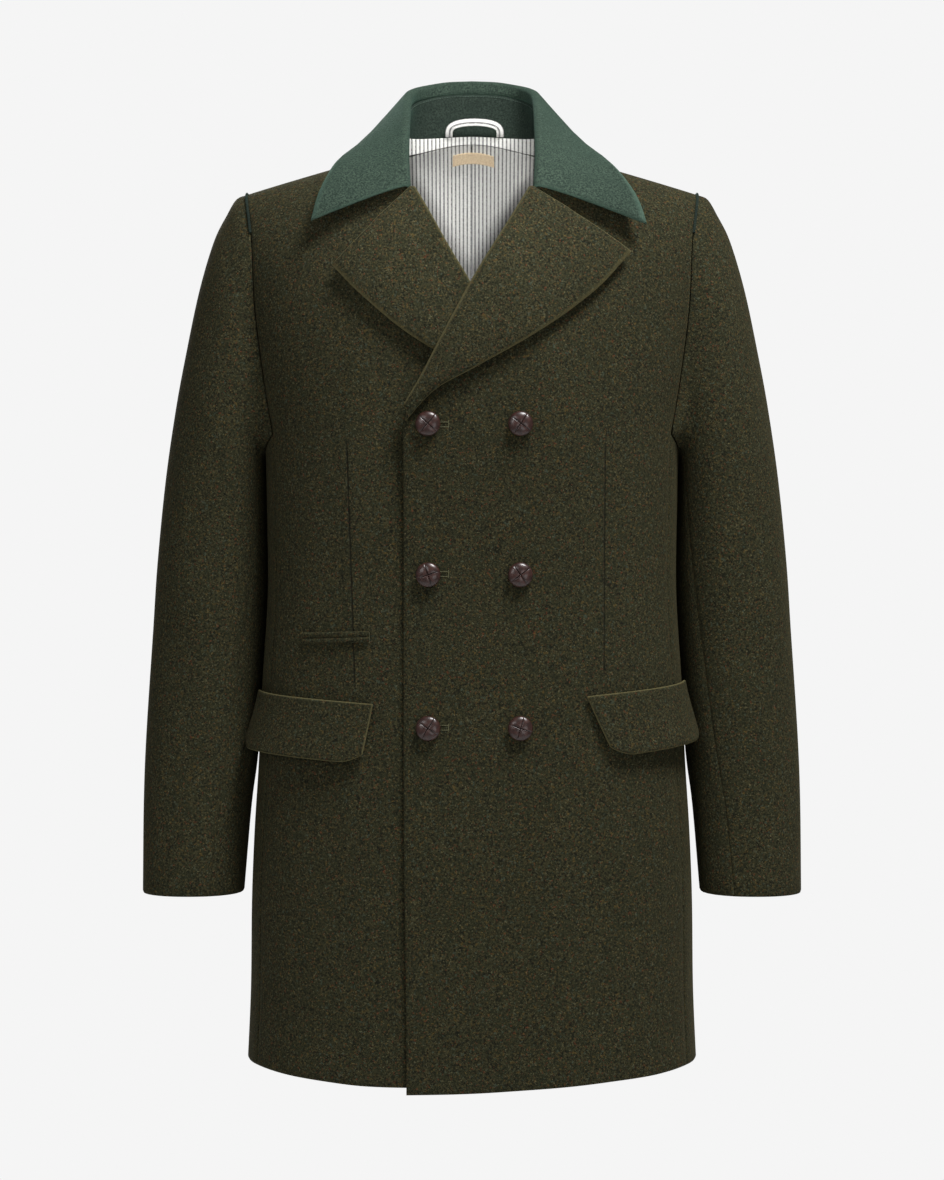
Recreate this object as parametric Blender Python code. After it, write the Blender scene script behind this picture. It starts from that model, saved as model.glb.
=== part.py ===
"""Double-breasted hip-length wool coat, filled out as worn and hollow inside.

Each cut piece is one closed cloth wall. The body, collar and lapels follow one
curved surface; what lies on a panel is that surface moved out. Sizes are in
millimetres, X to the wearer's left, Y to the back, Z up, with the origin at the
middle of the shoulder line. Meshes are written in metres.
"""
import bisect
import math
from collections import namedtuple

import bmesh
import bpy
from mathutils import Matrix, Vector

MM = 0.001

# Walls and gaps
CLOTH = 2.5
DOUBLE_CLOTH = 4.0
STAND_CLOTH = 3.5
FLAP_CLOTH = 3.0
LINING_CLOTH = 1.2
SEAM_GAP = 0.3
SHOULDER_SEAM_GAP = 0.5

# Body: half width and depths at each level, squared off like a jacket's section
Section = namedtuple("Section", "level half_width front_depth back_depth")
BODY = [
    Section(-845, 216.5, 137, 129),
    Section(-763, 213.0, 135, 124),
    Section(-677, 212.0, 133, 120),
    Section(-612, 209.5, 132, 117),
    Section(-547, 205.5, 130, 112),
    Section(-469, 202.0, 128, 105),
    Section(-408, 198.0, 127, 99),
    Section(-372, 196.7, 127, 97),
    Section(-309, 197.6, 129, 100),
    Section(-235, 200.0, 131, 106),
    Section(-190, 207.0, 131, 110),
    Section(-120, 220.0, 131, 113),
    Section(-60, 232.0, 131, 112),
    Section(0, 240.0, 131, 111),
]
SECTION_POWER = 2.75
ARMPIT = -235.0
FRONT_ROUNDING = 2.6
BACK_ROUNDING = 3.2
SHOULDER_X = 217.0
SHOULDER_SLOPE = 0.29
SHOULDER_SOFTEN = 30.0
NECK_RISE = 28.0
NECK_RISE_HALF = 90.0

# Cut lines of the body panels
SIDE_SEAM_SHARE = 0.94
HEM_SIDE = -829.0
Hem = namedtuple("Hem", "x left right")
HEM = [
    Hem(-63, 15.5, 7.0),
    Hem(0, 13.8, 8.5),
    Hem(65, 10.0, 9.4),
    Hem(105, 7.5, 8.5),
    Hem(140, 5.0, 5.6),
    Hem(170, 3.0, 3.2),
    Hem(203, 0.0, 0.0),
    Hem(216, 0.0, 0.0),
]
FRONT_EDGE_HEM = -60.0
FRONT_EDGE_WAIST = -63.0
UNDERARM_DROP = 15.0
NECK_X = 75.0
GORGE_X = 57.0
NECK_CURVE = 0.7
BACK_NECK_LEVEL = -11.7
Armhole = namedtuple("Armhole", "level front_x back_x")
ARMHOLE = [
    Armhole(-235, 188, 188),
    Armhole(-190, 196, 194),
    Armhole(-120, 205, 201),
    Armhole(-50, 209, 207),
    Armhole(0, 217, 217),
]

# How far the lapping left front rides out and the right one sinks in
Overlap = namedtuple("Overlap", "level left right full_x none_x")
OVERLAP = [
    Overlap(-845, 1.8, -2.6, 70, 135),
    Overlap(-320, 1.8, -2.6, 70, 135),
    Overlap(-240, 3.0, -6.0, 68, 130),
    Overlap(-160, 4.0, -8.0, 44, 107),
    Overlap(-100, 4.0, -8.0, 12, 75),
    Overlap(-50, 2.0, -3.0, -25, 45),
    Overlap(0, 0.0, 0.0, -60, 20),
]

# Lapel: the roll line and the outer edge, row by row from the break to the gorge
Lapel = namedtuple("Lapel", "row roll_x roll_z left_x left_z right_x right_z")
LAPEL = [
    Lapel(0, -59.0, -216, -60.0, -227, -60.0, -227),
    Lapel(1, -43.4, -190, -33.0, -199, -33.0, -199),
    Lapel(2, -23.7, -152, 5.0, -178, 5.0, -178),
    Lapel(3, 4.3, -100, 62.0, -145, 60.0, -145),
    Lapel(4, 30.6, -56, 112.0, -107, 99.0, -113),
    Lapel(5, GORGE_X, -10, 144.6, -70.6, 127.0, -84),
]
LAPEL_HIDDEN_ROWS = {"left": 0, "right": 3}
ROLL_RADIUS = 5.0
ROLL_CENTRE = 1.75
LAPEL_EDGE_LIFT = 6.5

# Collar: the fold line over the neck and the outer edge lying on the shoulders
Collar = namedtuple("Collar", "turn fold_x fold_y fold_z edge_x edge_level roll_end")
COLLAR = [
    Collar(0.00, 0.0, 66, 121.0, 0, -27.0, 20),
    Collar(0.15, 24.0, 64, 119.5, 45, -22.0, 22),
    Collar(0.30, 43.0, 55, 114.0, 88, -9.0, 32),
    Collar(0.42, 54.5, 36, 106.0, 111, -1.5, 42),
    Collar(0.50, 58.0, 16, 97.0, 120, -0.2, 46),
    Collar(0.65, 58.8, -28, 72.0, 126, -3.0, 50),
    Collar(0.80, 58.8, -66, 42.0, 133, -14.0, 58),
    Collar(0.90, 58.4, -88, 22.0, 139, -28.0, 66),
    Collar(1.00, 57.5, -104, -2.0, 145, -49.0, 74),
]
COLLAR_EDGE_LIFT = 7.0
COLLAR_BELLY = 0.45
STAND_STEPS_SHORT = 1

# Sleeve rings: outer and inner point, half depth and the middle's place in Y
Ring = namedtuple("Ring", "row outer_x outer_z inner_x inner_z half_depth middle_y front_seam follow")
SLEEVE = [
    Ring(0, 217.0, 0, 199.0, -250, 68, 2, 150, 1.0),
    Ring(1, 227.5, -4, 200.0, -258, 70, 3, 149, 0.6),
    Ring(2, 237.0, -19, 199.6, -266, 72, 4, 148, 0.3),
    Ring(3, 249.6, -44, 199.2, -275, 74, 5, 147, 0.1),
    Ring(4, 264.0, -92, 198.7, -290, 75, 6, 146, 0.0),
    Ring(5, 277.0, -153, 198.1, -310, 75, 7, 144, 0.0),
    Ring(6, 287.0, -206, 197.6, -335, 73, 8, 141, 0.0),
    Ring(7, 297.0, -275, 197.3, -370, 71, 8, 137, 0.0),
    Ring(8, 305.0, -356, 199.3, -420, 68, 7, 133, 0.0),
    Ring(9, 309.0, -420, 202.4, -465, 64, 5, 129, 0.0),
    Ring(10, 315.0, -519, 207.5, -540, 58, 0, 123, 0.0),
    Ring(11, 317.0, -585, 213.5, -590, 54, -5, 119, 0.0),
    Ring(12, 317.0, -672, 220.0, -672, 51, -12, 115, 0.0),
]
SLEEVE_POWER = 2.2
BACK_SEAM_ANGLE = 236.0

# Flaps, top and bottom corners as places along X and Z before they stand off
Flap = namedtuple("Flap", "side top_in top_in_z top_out top_out_z low_in low_in_z low_out low_out_z")
FLAPS = [
    Flap("right", 90.6, -487, 199.5, -477, 101.0, -542, 203.0, -531),
    Flap("left", 105.0, -480, 199.5, -468, 129.5, -536, 203.0, -523),
]
FLAP_LIFT = 1.0
FLAP_FLARE_IN = 4.0
FLAP_FLARE_OUT = 12.0
FLAP_CORNER = 0.16

# Ticket pocket on the right front
TICKET_IN = 94.5
TICKET_OUT = 157.0
TICKET_Z = -427.0
TICKET_RISE = 2.0
TICKET_LIP = 5.2
TICKET_CLOTH = 2.0
TICKET_LIFT = 0.9

# Lining, label and hanger loop at the back of the neck
LINING_GAP = 2.4
LINING_SEAM_GAP = 1.0
LINING_HEM = -798.0
LINING_TOP_DROP = 2.0
LABEL_WIDE = 44.0
LABEL_TALL = 11.0
LABEL_X = 1.5
LABEL_LEVEL = -22.0
LABEL_CLOTH = 0.8
LABEL_GAP = 1.6
LOOP_MIDDLE_X = 2.5
LOOP_HALF = 25.5
LOOP_FOOT_Z = 69.5
LOOP_RISE = 14.0
LOOP_STRAP = 7.0
LOOP_CLOTH = 1.8
LOOP_FOOT_Y = 52.6
LOOP_BOW = 5.0
LOOP_SQUARE = 0.6

# Buttons, three rows of two
BUTTON_RADIUS = 11.5
BUTTON_HALF_HEIGHT = 4.3
BUTTON_COLUMNS = [-40.0, 44.0]
BUTTON_ROWS = [-231.0, -368.0, -509.0]
BUTTON_GAP = 0.6

# Piping in the sleeve head seam
PIPING_RADIUS = 2.0
PIPING_FRONT_LEVEL = -46.0
PIPING_BACK_LEVEL = -46.0
PIPING_GAP = 0.7

# Grid fineness
FRONT_COLUMNS = 13
BACK_COLUMNS = 8
SIDE_COLUMNS = 4
LOWER_ROWS = 12
NECK_ROWS = 4
BACK_UPPER_ROWS = 7
BACK_NECK_ROWS = 7
COLLAR_STEPS = BACK_NECK_ROWS + NECK_ROWS
ROLL_STEPS = 4
LAPEL_ROWS = 8
LAPEL_COLUMNS = 6
FALL_COLUMNS = 5
STAND_ROWS = 3
FLAP_COLUMNS = 10
FLAP_ROWS = 4
LINING_COLUMNS = 8
LINING_ROWS = 10
LINING_NECK_ROWS = [1, 3, 4, 5]
LOOP_STEPS = 14
TICKET_COLUMNS = 5

SIDES = {"left": 1.0, "right": -1.0}

WOOL = (0.030, 0.028, 0.012, 1.0)
FELT = (0.026, 0.075, 0.056, 1.0)
STRIPED_COTTON = (0.62, 0.62, 0.60, 1.0)
TAPE = (0.72, 0.56, 0.36, 1.0)
LEATHER = (0.038, 0.014, 0.013, 1.0)


def mix(start, end, share):
    return start + (end - start) * share


def ease(share):
    share = min(max(share, 0.0), 1.0)
    return share * share * (3.0 - 2.0 * share)


def steps(count):
    return [i / count for i in range(count + 1)]


def table_at(rows, column, where):
    """Smooth curve through one column of a table, keyed by the table's first column."""
    keys = [row[0] for row in rows]
    values = [getattr(row, column) for row in rows]
    where = min(max(where, keys[0]), keys[-1])
    i = min(max(bisect.bisect_right(keys, where) - 1, 0), len(keys) - 2)

    def slope(k):
        low, high = max(k - 1, 0), min(k + 1, len(keys) - 1)
        return (values[high] - values[low]) / (keys[high] - keys[low])

    span = keys[i + 1] - keys[i]
    t = (where - keys[i]) / span
    rise = values[i + 1] - values[i]
    start, end = slope(i) * span, slope(i + 1) * span
    return values[i] + t * (start + t * (3 * rise - 2 * start - end + t * (start + end - 2 * rise)))


def shoulder_height(x):
    rise = max(0.0, 1.0 - (x / NECK_RISE_HALF) ** 2)
    run = math.hypot(SHOULDER_X, SHOULDER_SOFTEN) - math.hypot(x, SHOULDER_SOFTEN)
    return SHOULDER_SLOPE * run + NECK_RISE * rise


def surface(level, angle):
    """Point of the body's outer face; angle 0 is the centre front, 180 degrees the centre back."""
    width = table_at(BODY, "half_width", level)
    front = math.cos(angle) > 0
    depth = table_at(BODY, "front_depth" if front else "back_depth", level)
    across = abs(math.sin(angle) / width) ** SECTION_POWER
    along = abs(math.cos(angle) / depth) ** SECTION_POWER
    reach = (across + along) ** (-1.0 / SECTION_POWER)
    x = reach * math.sin(angle)
    y = -reach * math.cos(angle)
    if level <= ARMPIT:
        return Vector((x, y, level))
    rise = min((level - ARMPIT) / -ARMPIT, 1.0)
    power = FRONT_ROUNDING if front else BACK_ROUNDING
    y *= (1.0 - rise ** power) ** (1.0 / power)
    return Vector((x, y, ARMPIT + rise * (shoulder_height(x) - ARMPIT)))


def surface_normal(level, angle):
    low, high = level - 1.0, min(level + 1.0, 0.0)
    turn = 0.01
    around = surface(level, angle + turn) - surface(level, angle - turn)
    if level > -1.0:
        around = surface(low, angle + turn) - surface(low, angle - turn)
    upward = surface(high, angle) - surface(low, angle)
    return around.cross(upward).normalized()


def body_point(level, angle, lift=0.0):
    return surface(level, angle) + surface_normal(level, angle) * lift


def angle_at(level, x, back=False):
    width = table_at(BODY, "half_width", level)
    depth = table_at(BODY, "back_depth" if back else "front_depth", level)
    share = min(abs(x) / width, 1.0)
    y = depth * (1.0 - share ** SECTION_POWER) ** (1.0 / SECTION_POWER)
    angle = math.atan2(x, y)
    return math.pi - angle if back else angle


def level_at(x, z):
    if z <= ARMPIT:
        return z
    return ARMPIT - (z - ARMPIT) * ARMPIT / (shoulder_height(x) - ARMPIT)


def side_seam(level, back=False):
    return angle_at(level, SIDE_SEAM_SHARE * table_at(BODY, "half_width", level), back)


def nudge(level, angle, distance):
    """Angle that lies a small distance further round the body."""
    turn = 0.01
    speed = (surface(level, angle + turn) - surface(level, angle - turn)).length / (2 * turn)
    return angle + distance / speed


def overlap_lift(hand, level, x):
    none, full = table_at(OVERLAP, "none_x", level), table_at(OVERLAP, "full_x", level)
    share = ease((none - x) / (none - full))
    return share * table_at(OVERLAP, hand, level)


def front_point(hand, x, z, lift):
    level = level_at(x, z)
    return body_point(level, angle_at(level, x), lift + overlap_lift(hand, level, x))


def mirrored(grid, hand):
    return [[Vector((p.x * SIDES[hand], p.y, p.z)) for p in row] for row in grid]


def make_material(name, colour, roughness):
    material = bpy.data.materials.new(name)
    material.use_nodes = True
    shader = material.node_tree.nodes["Principled BSDF"]
    shader.inputs["Base Color"].default_value = colour
    shader.inputs["Roughness"].default_value = roughness
    shader.inputs["Metallic"].default_value = 0.0
    return material


def add_object(name, mesh, colour, roughness):
    mesh.materials.append(make_material(name + "_cloth", colour, roughness))
    piece = bpy.data.objects.new(name, mesh)
    coat.objects.link(piece)
    return piece


def cloth_wall(name, outer, inner, colour, roughness=0.9):
    """Closed wall between two grids of points, its rim bridged all round."""
    rows, columns = len(outer) - 1, len(outer[0]) - 1
    bm = bmesh.new()
    rims = []
    for grid in (outer, inner):
        made = bmesh.ops.create_grid(bm, x_segments=columns, y_segments=rows, size=1.0)
        verts = made["verts"]
        for k, vert in enumerate(verts):
            vert.co = grid[k // (columns + 1)][k % (columns + 1)] * MM
        rims += [e for e in {e for v in verts for e in v.link_edges} if e.is_boundary]
    bmesh.ops.bridge_loops(bm, edges=rims)
    bmesh.ops.recalc_face_normals(bm, faces=bm.faces)
    mesh = bpy.data.meshes.new(name)
    bm.to_mesh(mesh)
    bm.free()
    mesh.shade_smooth()
    return add_object(name, mesh, colour, roughness)


def roll_row(row):
    return (table_at(LAPEL, "roll_x", row), table_at(LAPEL, "roll_z", row))


def lapel_rows():
    return [share * LAPEL[-1].row for share in steps(LAPEL_ROWS)]


def gorge_level():
    return level_at(GORGE_X, LAPEL[-1].roll_z)


def neck_front(share):
    """Level and X along the front neck seam, from the gorge to the shoulder seam."""
    level = gorge_level() * (1.0 - share) ** 2
    return level, mix(GORGE_X, NECK_X, share ** NECK_CURVE)


def neck_back(share):
    """Level and X along the back neck seam, from the centre back to the shoulder seam."""
    turn = share * math.pi / 2
    return BACK_NECK_LEVEL * math.cos(turn) ** 2, NECK_X * math.sin(turn)


def front_upper_rows():
    """Level and inner X of the front's rows above the armpit."""
    rows = []
    for row in lapel_rows():
        x, z = roll_row(row)
        rows.append((level_at(x, z), x + SEAM_GAP))
    return rows + [neck_front(share) for share in steps(NECK_ROWS)[1:]]


def back_upper_rows():
    rises = [math.sin(share * math.pi / 2) for share in steps(BACK_UPPER_ROWS)[1:]]
    straight = [mix(ARMPIT, BACK_NECK_LEVEL, rise) for rise in rises]
    return [(level, 0.0) for level in straight] + [neck_back(share) for share in steps(BACK_NECK_ROWS)[1:]]


def wall_grids(places, hand, thickness):
    """Outer and inner grid from rows of (level, angle, lift)."""
    outer = [[body_point(*place) for place in row] for row in places]
    inner = [[body_point(level, angle, lift - thickness) for level, angle, lift in row] for row in places]
    return mirrored(outer, hand), mirrored(inner, hand)


def part_shoulder(grid, push):
    grid[-1] = [p + Vector((0.0, push, 0.0)) for p in grid[-1]]


def make_front(hand):
    def place(level, angle):
        return level, angle, overlap_lift(hand, level, surface(level, angle).x)

    places = []
    for share in steps(LOWER_ROWS):
        row = []
        for u in steps(FRONT_COLUMNS):
            hem_angle = mix(angle_at(HEM_SIDE, FRONT_EDGE_HEM), side_seam(HEM_SIDE), u)
            dip = table_at(HEM, hand, surface(HEM_SIDE, hem_angle).x)
            level = mix(HEM_SIDE - dip, ARMPIT, share)
            first = angle_at(level, mix(FRONT_EDGE_HEM, FRONT_EDGE_WAIST, ease(2 * share)))
            last = side_seam(level)
            angle = mix(first, nudge(level, last, -SEAM_GAP / 2), u)
            row.append(place(level, angle))
        places.append(row)
    for level, x in front_upper_rows():
        first = angle_at(level, x)
        last = angle_at(level, table_at(ARMHOLE, "front_x", level))
        places.append([place(level, mix(first, last, u)) for u in steps(FRONT_COLUMNS)])
    outer, inner = wall_grids(places, hand, CLOTH)
    for grid in (outer, inner):
        part_shoulder(grid, -SHOULDER_SEAM_GAP / 2)
    cloth_wall("front_" + hand, outer, inner, WOOL)


def make_back(hand):
    places = []
    for share in steps(LOWER_ROWS):
        level = mix(HEM_SIDE, ARMPIT, share)
        first = nudge(level, math.pi, -SEAM_GAP / 2)
        last = nudge(level, side_seam(level, back=True), SEAM_GAP / 2)
        places.append([(level, mix(first, last, u), 0.0) for u in steps(BACK_COLUMNS)])
    for level, x in back_upper_rows():
        first = nudge(min(level, -1.0), angle_at(level, x, back=True), -SEAM_GAP / 2)
        last = angle_at(level, table_at(ARMHOLE, "back_x", level), back=True)
        places.append([(level, mix(first, last, u), 0.0) for u in steps(BACK_COLUMNS)])
    outer, inner = wall_grids(places, hand, CLOTH)
    for grid in (outer, inner):
        part_shoulder(grid, SHOULDER_SEAM_GAP / 2)
    cloth_wall("back_" + hand, outer, inner, WOOL)


def underarm_level(u):
    return ARMPIT - UNDERARM_DROP * (1.0 - (2.0 * u - 1.0) ** 2)


def side_angle(level, u):
    first = nudge(level, side_seam(level), SEAM_GAP / 2)
    last = nudge(level, side_seam(level, back=True), -SEAM_GAP / 2)
    return mix(first, last, u)


def make_side(hand):
    places = []
    for share in steps(LOWER_ROWS):
        row = []
        for u in steps(SIDE_COLUMNS):
            level = mix(HEM_SIDE, underarm_level(u), share)
            row.append((level, side_angle(level, u), 0.0))
        places.append(row)
    outer, inner = wall_grids(places, hand, CLOTH)
    cloth_wall("side_" + hand, outer, inner, WOOL)


def lapel_strip(hand, row, thickness):
    """One row across the lapel: round the roll, then flat over the front to the edge."""
    roll_x, roll_z = roll_row(row)
    edge_x = table_at(LAPEL, hand + "_x", row)
    edge_z = table_at(LAPEL, hand + "_z", row)
    ahead_x, ahead_z = roll_row(min(row + 0.1, LAPEL[-1].row))
    behind_x, behind_z = roll_row(max(row - 0.1, LAPEL[0].row))
    base = front_point(hand, roll_x, roll_z, 0.0)
    tangent = front_point(hand, ahead_x, ahead_z, 0.0) - front_point(hand, behind_x, behind_z, 0.0)
    level = level_at(roll_x, roll_z)
    normal = surface_normal(level, angle_at(level, roll_x))
    across = normal.cross(tangent).normalized()
    if across.x < 0:
        across = -across
    radius = ROLL_RADIUS - thickness
    strip = []
    for share in steps(ROLL_STEPS):
        turn = share * math.pi
        over = ROLL_CENTRE - radius * math.cos(turn)
        strip.append(base - across * radius * math.sin(turn) + normal * over)
    for u in steps(LAPEL_COLUMNS)[1:]:
        lift = mix(ROLL_CENTRE + ROLL_RADIUS, LAPEL_EDGE_LIFT, ease(u)) - thickness
        strip.append(front_point(hand, mix(roll_x, edge_x, u), mix(roll_z, edge_z, u), lift))
    return strip


def make_lapel(hand):
    rows = lapel_rows()[LAPEL_HIDDEN_ROWS[hand]:]
    outer = mirrored([lapel_strip(hand, row, 0.0) for row in rows], hand)
    inner = mirrored([lapel_strip(hand, row, DOUBLE_CLOTH) for row in rows], hand)
    cloth_wall("lapel_" + hand, outer, inner, WOOL)


def fold_point(turn):
    return Vector([table_at(COLLAR, column, turn) for column in ("fold_x", "fold_y", "fold_z")])


def fold_frame(turn):
    """Fold point, outward and upward directions of the collar's section."""
    tangent = fold_point(min(turn + 0.02, 1.0)) - fold_point(max(turn - 0.02, 0.0))
    if turn == 0.0:
        tangent = Vector((1.0, 0.0, 0.0))
    out = Vector((-tangent.y, tangent.x, 0.0)).normalized()
    return fold_point(turn), out, tangent.cross(out).normalized()


def collar_edge(turn):
    level = table_at(COLLAR, "edge_level", turn)
    back = turn < 0.5
    return body_point(level, angle_at(level, table_at(COLLAR, "edge_x", turn), back), COLLAR_EDGE_LIFT)


def fall_strip(turn, thickness):
    """Section of the collar's fall: over the roll, then down to its outer edge."""
    fold, out, up = fold_frame(turn)
    centre = fold + out * ROLL_RADIUS
    end = math.radians(table_at(COLLAR, "roll_end", turn))
    strip = []
    for share in steps(ROLL_STEPS):
        bend = mix(math.pi, end, share)
        radial = out * math.cos(bend) + up * math.sin(bend)
        strip.append(centre + radial * (ROLL_RADIUS - thickness))
    start = centre + (out * math.cos(end) + up * math.sin(end)) * ROLL_RADIUS
    leave = out * math.sin(end) - up * math.cos(end)
    edge = collar_edge(turn)
    middle = start + leave * (edge - start).length * COLLAR_BELLY
    for u in steps(FALL_COLUMNS)[1:]:
        point = start * (1 - u) ** 2 + middle * 2 * u * (1 - u) + edge * u * u
        along = (middle - start) * (1 - u) + (edge - middle) * u
        side = (up * along.dot(out) - out * along.dot(up)).normalized()
        strip.append(point - side * thickness)
    return strip


def both_sides(strips):
    """Strips from the centre back to one front end, mirrored to run end to end."""
    mirror = [[Vector((-p.x, p.y, p.z)) for p in strip] for strip in strips[:0:-1]]
    return mirror + strips


def make_collar_fall():
    turns = steps(COLLAR_STEPS)
    outer = both_sides([fall_strip(turn, 0.0) for turn in turns])
    inner = both_sides([fall_strip(turn, DOUBLE_CLOTH) for turn in turns])
    cloth_wall("collar_fall", outer, inner, FELT)


def neck_seam(turn):
    step = turn * COLLAR_STEPS
    if step < BACK_NECK_ROWS:
        level, x = neck_back(step / BACK_NECK_ROWS)
        return body_point(level, angle_at(level, x, back=True))
    level, x = neck_front((COLLAR_STEPS - step) / NECK_ROWS)
    return body_point(level, angle_at(level, x))


def stand_strip(turn, thickness):
    """Section of the stand, from the neck seam up to just under the fold."""
    fold, out, up = fold_frame(turn)
    foot = neck_seam(turn) - out * (STAND_CLOTH + SEAM_GAP) + up * SEAM_GAP
    top = fold - up * SEAM_GAP
    return [foot.lerp(top, share) + out * thickness for share in steps(STAND_ROWS)]


def make_collar_stand():
    turns = steps(COLLAR_STEPS)[:-STAND_STEPS_SHORT]
    outer = both_sides([stand_strip(turn, STAND_CLOTH) for turn in turns])
    inner = both_sides([stand_strip(turn, 0.0) for turn in turns])
    cloth_wall("collar_stand", outer, inner, FELT)


def armhole_loop():
    """Points round the armhole, from the shoulder down the front and up the back."""
    front = [(level, angle_at(level, table_at(ARMHOLE, "front_x", level)))
             for level, _ in reversed(front_upper_rows())]
    under = [(underarm_level(u), side_angle(underarm_level(u), u)) for u in steps(SIDE_COLUMNS)]
    back = [(level, angle_at(level, table_at(ARMHOLE, "back_x", level), back=True))
            for level, _ in back_upper_rows()[:-1]]
    return [body_point(*place) + Vector((SEAM_GAP, 0.0, 0.0)) for place in front + under + back]


def ring_point(ring, angle):
    """Point of a sleeve ring; angle 0 is its outer side, a quarter turn its front."""
    across, along = math.cos(angle), math.sin(angle)
    bulge = (abs(across) ** SLEEVE_POWER + abs(along) ** SLEEVE_POWER) ** (-1.0 / SLEEVE_POWER)
    half = Vector((ring.outer_x - ring.inner_x, 0.0, ring.outer_z - ring.inner_z)) / 2
    middle = Vector((ring.inner_x, ring.middle_y, ring.inner_z)) + half
    return middle + half * across * bulge - Vector((0.0, ring.half_depth, 0.0)) * along * bulge


def ring_angle(ring, point):
    half = Vector((ring.outer_x - ring.inner_x, 0.0, ring.outer_z - ring.inner_z)) / 2
    middle = Vector((ring.inner_x, ring.middle_y, ring.inner_z)) + half
    across = (point - middle).dot(half) / half.length_squared
    return math.atan2((ring.middle_y - point.y) / ring.half_depth, across) % (2 * math.pi)


def drifted(angle, first_seam, seam):
    """Angle on a lower ring, where the front seam has moved round from its first place."""
    if angle > math.pi:
        return angle
    if angle < first_seam:
        return angle * seam / first_seam
    return math.pi - (math.pi - angle) * (math.pi - seam) / (math.pi - first_seam)


def sleeve_grids():
    """Outer and inner rings of the whole sleeve, and the columns of its two seams."""
    loop = armhole_loop()
    angles = [ring_angle(SLEEVE[0], point) for point in loop]
    angles[0] = 0.0
    wanted = math.radians(SLEEVE[0].front_seam)
    front = min(range(len(loop)), key=lambda i: abs(angles[i] - wanted))
    back = min(range(len(loop)), key=lambda i: abs(angles[i] - math.radians(BACK_SEAM_ANGLE)))
    stray = [point - ring_point(SLEEVE[0], angle) for point, angle in zip(loop, angles)]
    outer = []
    for ring in SLEEVE:
        seam = angles[front] - math.radians(SLEEVE[0].front_seam - ring.front_seam)
        outer.append([ring_point(ring, drifted(angle, angles[front], seam)) + stray[i] * ring.follow
                      for i, angle in enumerate(angles)])
    inner = []
    for k, ring in enumerate(outer):
        row = []
        for i, point in enumerate(ring):
            around = ring[(i + 1) % len(ring)] - ring[i - 1]
            down = outer[min(k + 1, len(outer) - 1)][i] - outer[max(k - 1, 0)][i]
            normal = around.cross(down)
            if k == 0:
                normal.x = 0.0
            row.append(point - normal.normalized() * CLOTH)
        inner.append(row)
    return outer, inner, front, back


def columns_between(grid, first, last, trim):
    """Columns of a ring grid from first to last, pulled in from both seams."""
    count = len(grid[0])
    picked = [i % count for i in range(first, last + 1)]
    out = []
    for ring in grid:
        row = [ring[i].copy() for i in picked]
        row[0] += (row[1] - row[0]).normalized() * trim
        row[-1] += (row[-2] - row[-1]).normalized() * trim
        out.append(row)
    return out


def make_sleeve(hand):
    outer, inner, front, back = sleeve_grids()
    count = len(outer[0])
    for name, first, last in (("sleeve_top_", back, front + count), ("sleeve_under_", front, back)):
        walls = [mirrored(columns_between(grid, first, last, SEAM_GAP / 2), hand) for grid in (outer, inner)]
        cloth_wall(name + hand, walls[0], walls[1], WOOL)


def make_flap(flap):
    def place(u, v):
        corner = 1.0 - FLAP_CORNER * max(0.0, 1.0 - min(u, 1.0 - u) / FLAP_CORNER) ** 2
        v *= corner
        top_level, low_level = mix(flap.top_in_z, flap.top_out_z, u), mix(flap.low_in_z, flap.low_out_z, u)
        top = mix(angle_at(flap.top_in_z, flap.top_in), angle_at(flap.top_out_z, flap.top_out), u)
        low = mix(angle_at(flap.low_in_z, flap.low_in), angle_at(flap.low_out_z, flap.low_out), u)
        flare = mix(FLAP_FLARE_IN, FLAP_FLARE_OUT, u) * v ** 1.3
        return mix(top_level, low_level, v), mix(top, low, v), FLAP_LIFT + FLAP_CLOTH + flare

    places = [[place(u, v) for u in steps(FLAP_COLUMNS)] for v in steps(FLAP_ROWS)]
    outer, inner = wall_grids(places, flap.side, FLAP_CLOTH)
    cloth_wall("flap_" + flap.side, outer, inner, WOOL)


def make_ticket_lip(name, low):
    places = []
    for tall in (low, low + TICKET_LIP):
        row = []
        for u in steps(TICKET_COLUMNS):
            level = TICKET_Z + tall + TICKET_RISE * (1.0 - u)
            angle = angle_at(level, mix(TICKET_IN, TICKET_OUT, u))
            row.append((level, angle, TICKET_LIFT + TICKET_CLOTH))
        places.append(row)
    outer, inner = wall_grids(places, "right", TICKET_CLOTH)
    cloth_wall(name, outer, inner, WOOL)


def make_lining(hand):
    lift = -(CLOTH + LINING_GAP)
    places = []
    levels = [mix(LINING_HEM, ARMPIT, share) for share in steps(LINING_ROWS)]
    rows = back_upper_rows()
    spread = [rows[BACK_UPPER_ROWS + k] for k in LINING_NECK_ROWS]
    upper = [(level - LINING_TOP_DROP, x) for level, x in rows[:BACK_UPPER_ROWS] + spread]
    for level, x in [(level, 0.0) for level in levels] + upper:
        first = nudge(min(level, -1.0), angle_at(level, x, back=True), -LINING_SEAM_GAP / 2)
        inset = side_seam(level, back=True)
        if level > ARMPIT:
            inset = angle_at(level, table_at(ARMHOLE, "back_x", level), back=True)
        places.append([(level, mix(first, inset, u), lift) for u in steps(LINING_COLUMNS)])
    outer, inner = wall_grids(places, hand, LINING_CLOTH)
    cloth_wall("lining_" + hand, outer, inner, STRIPED_COTTON, 0.8)


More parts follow.
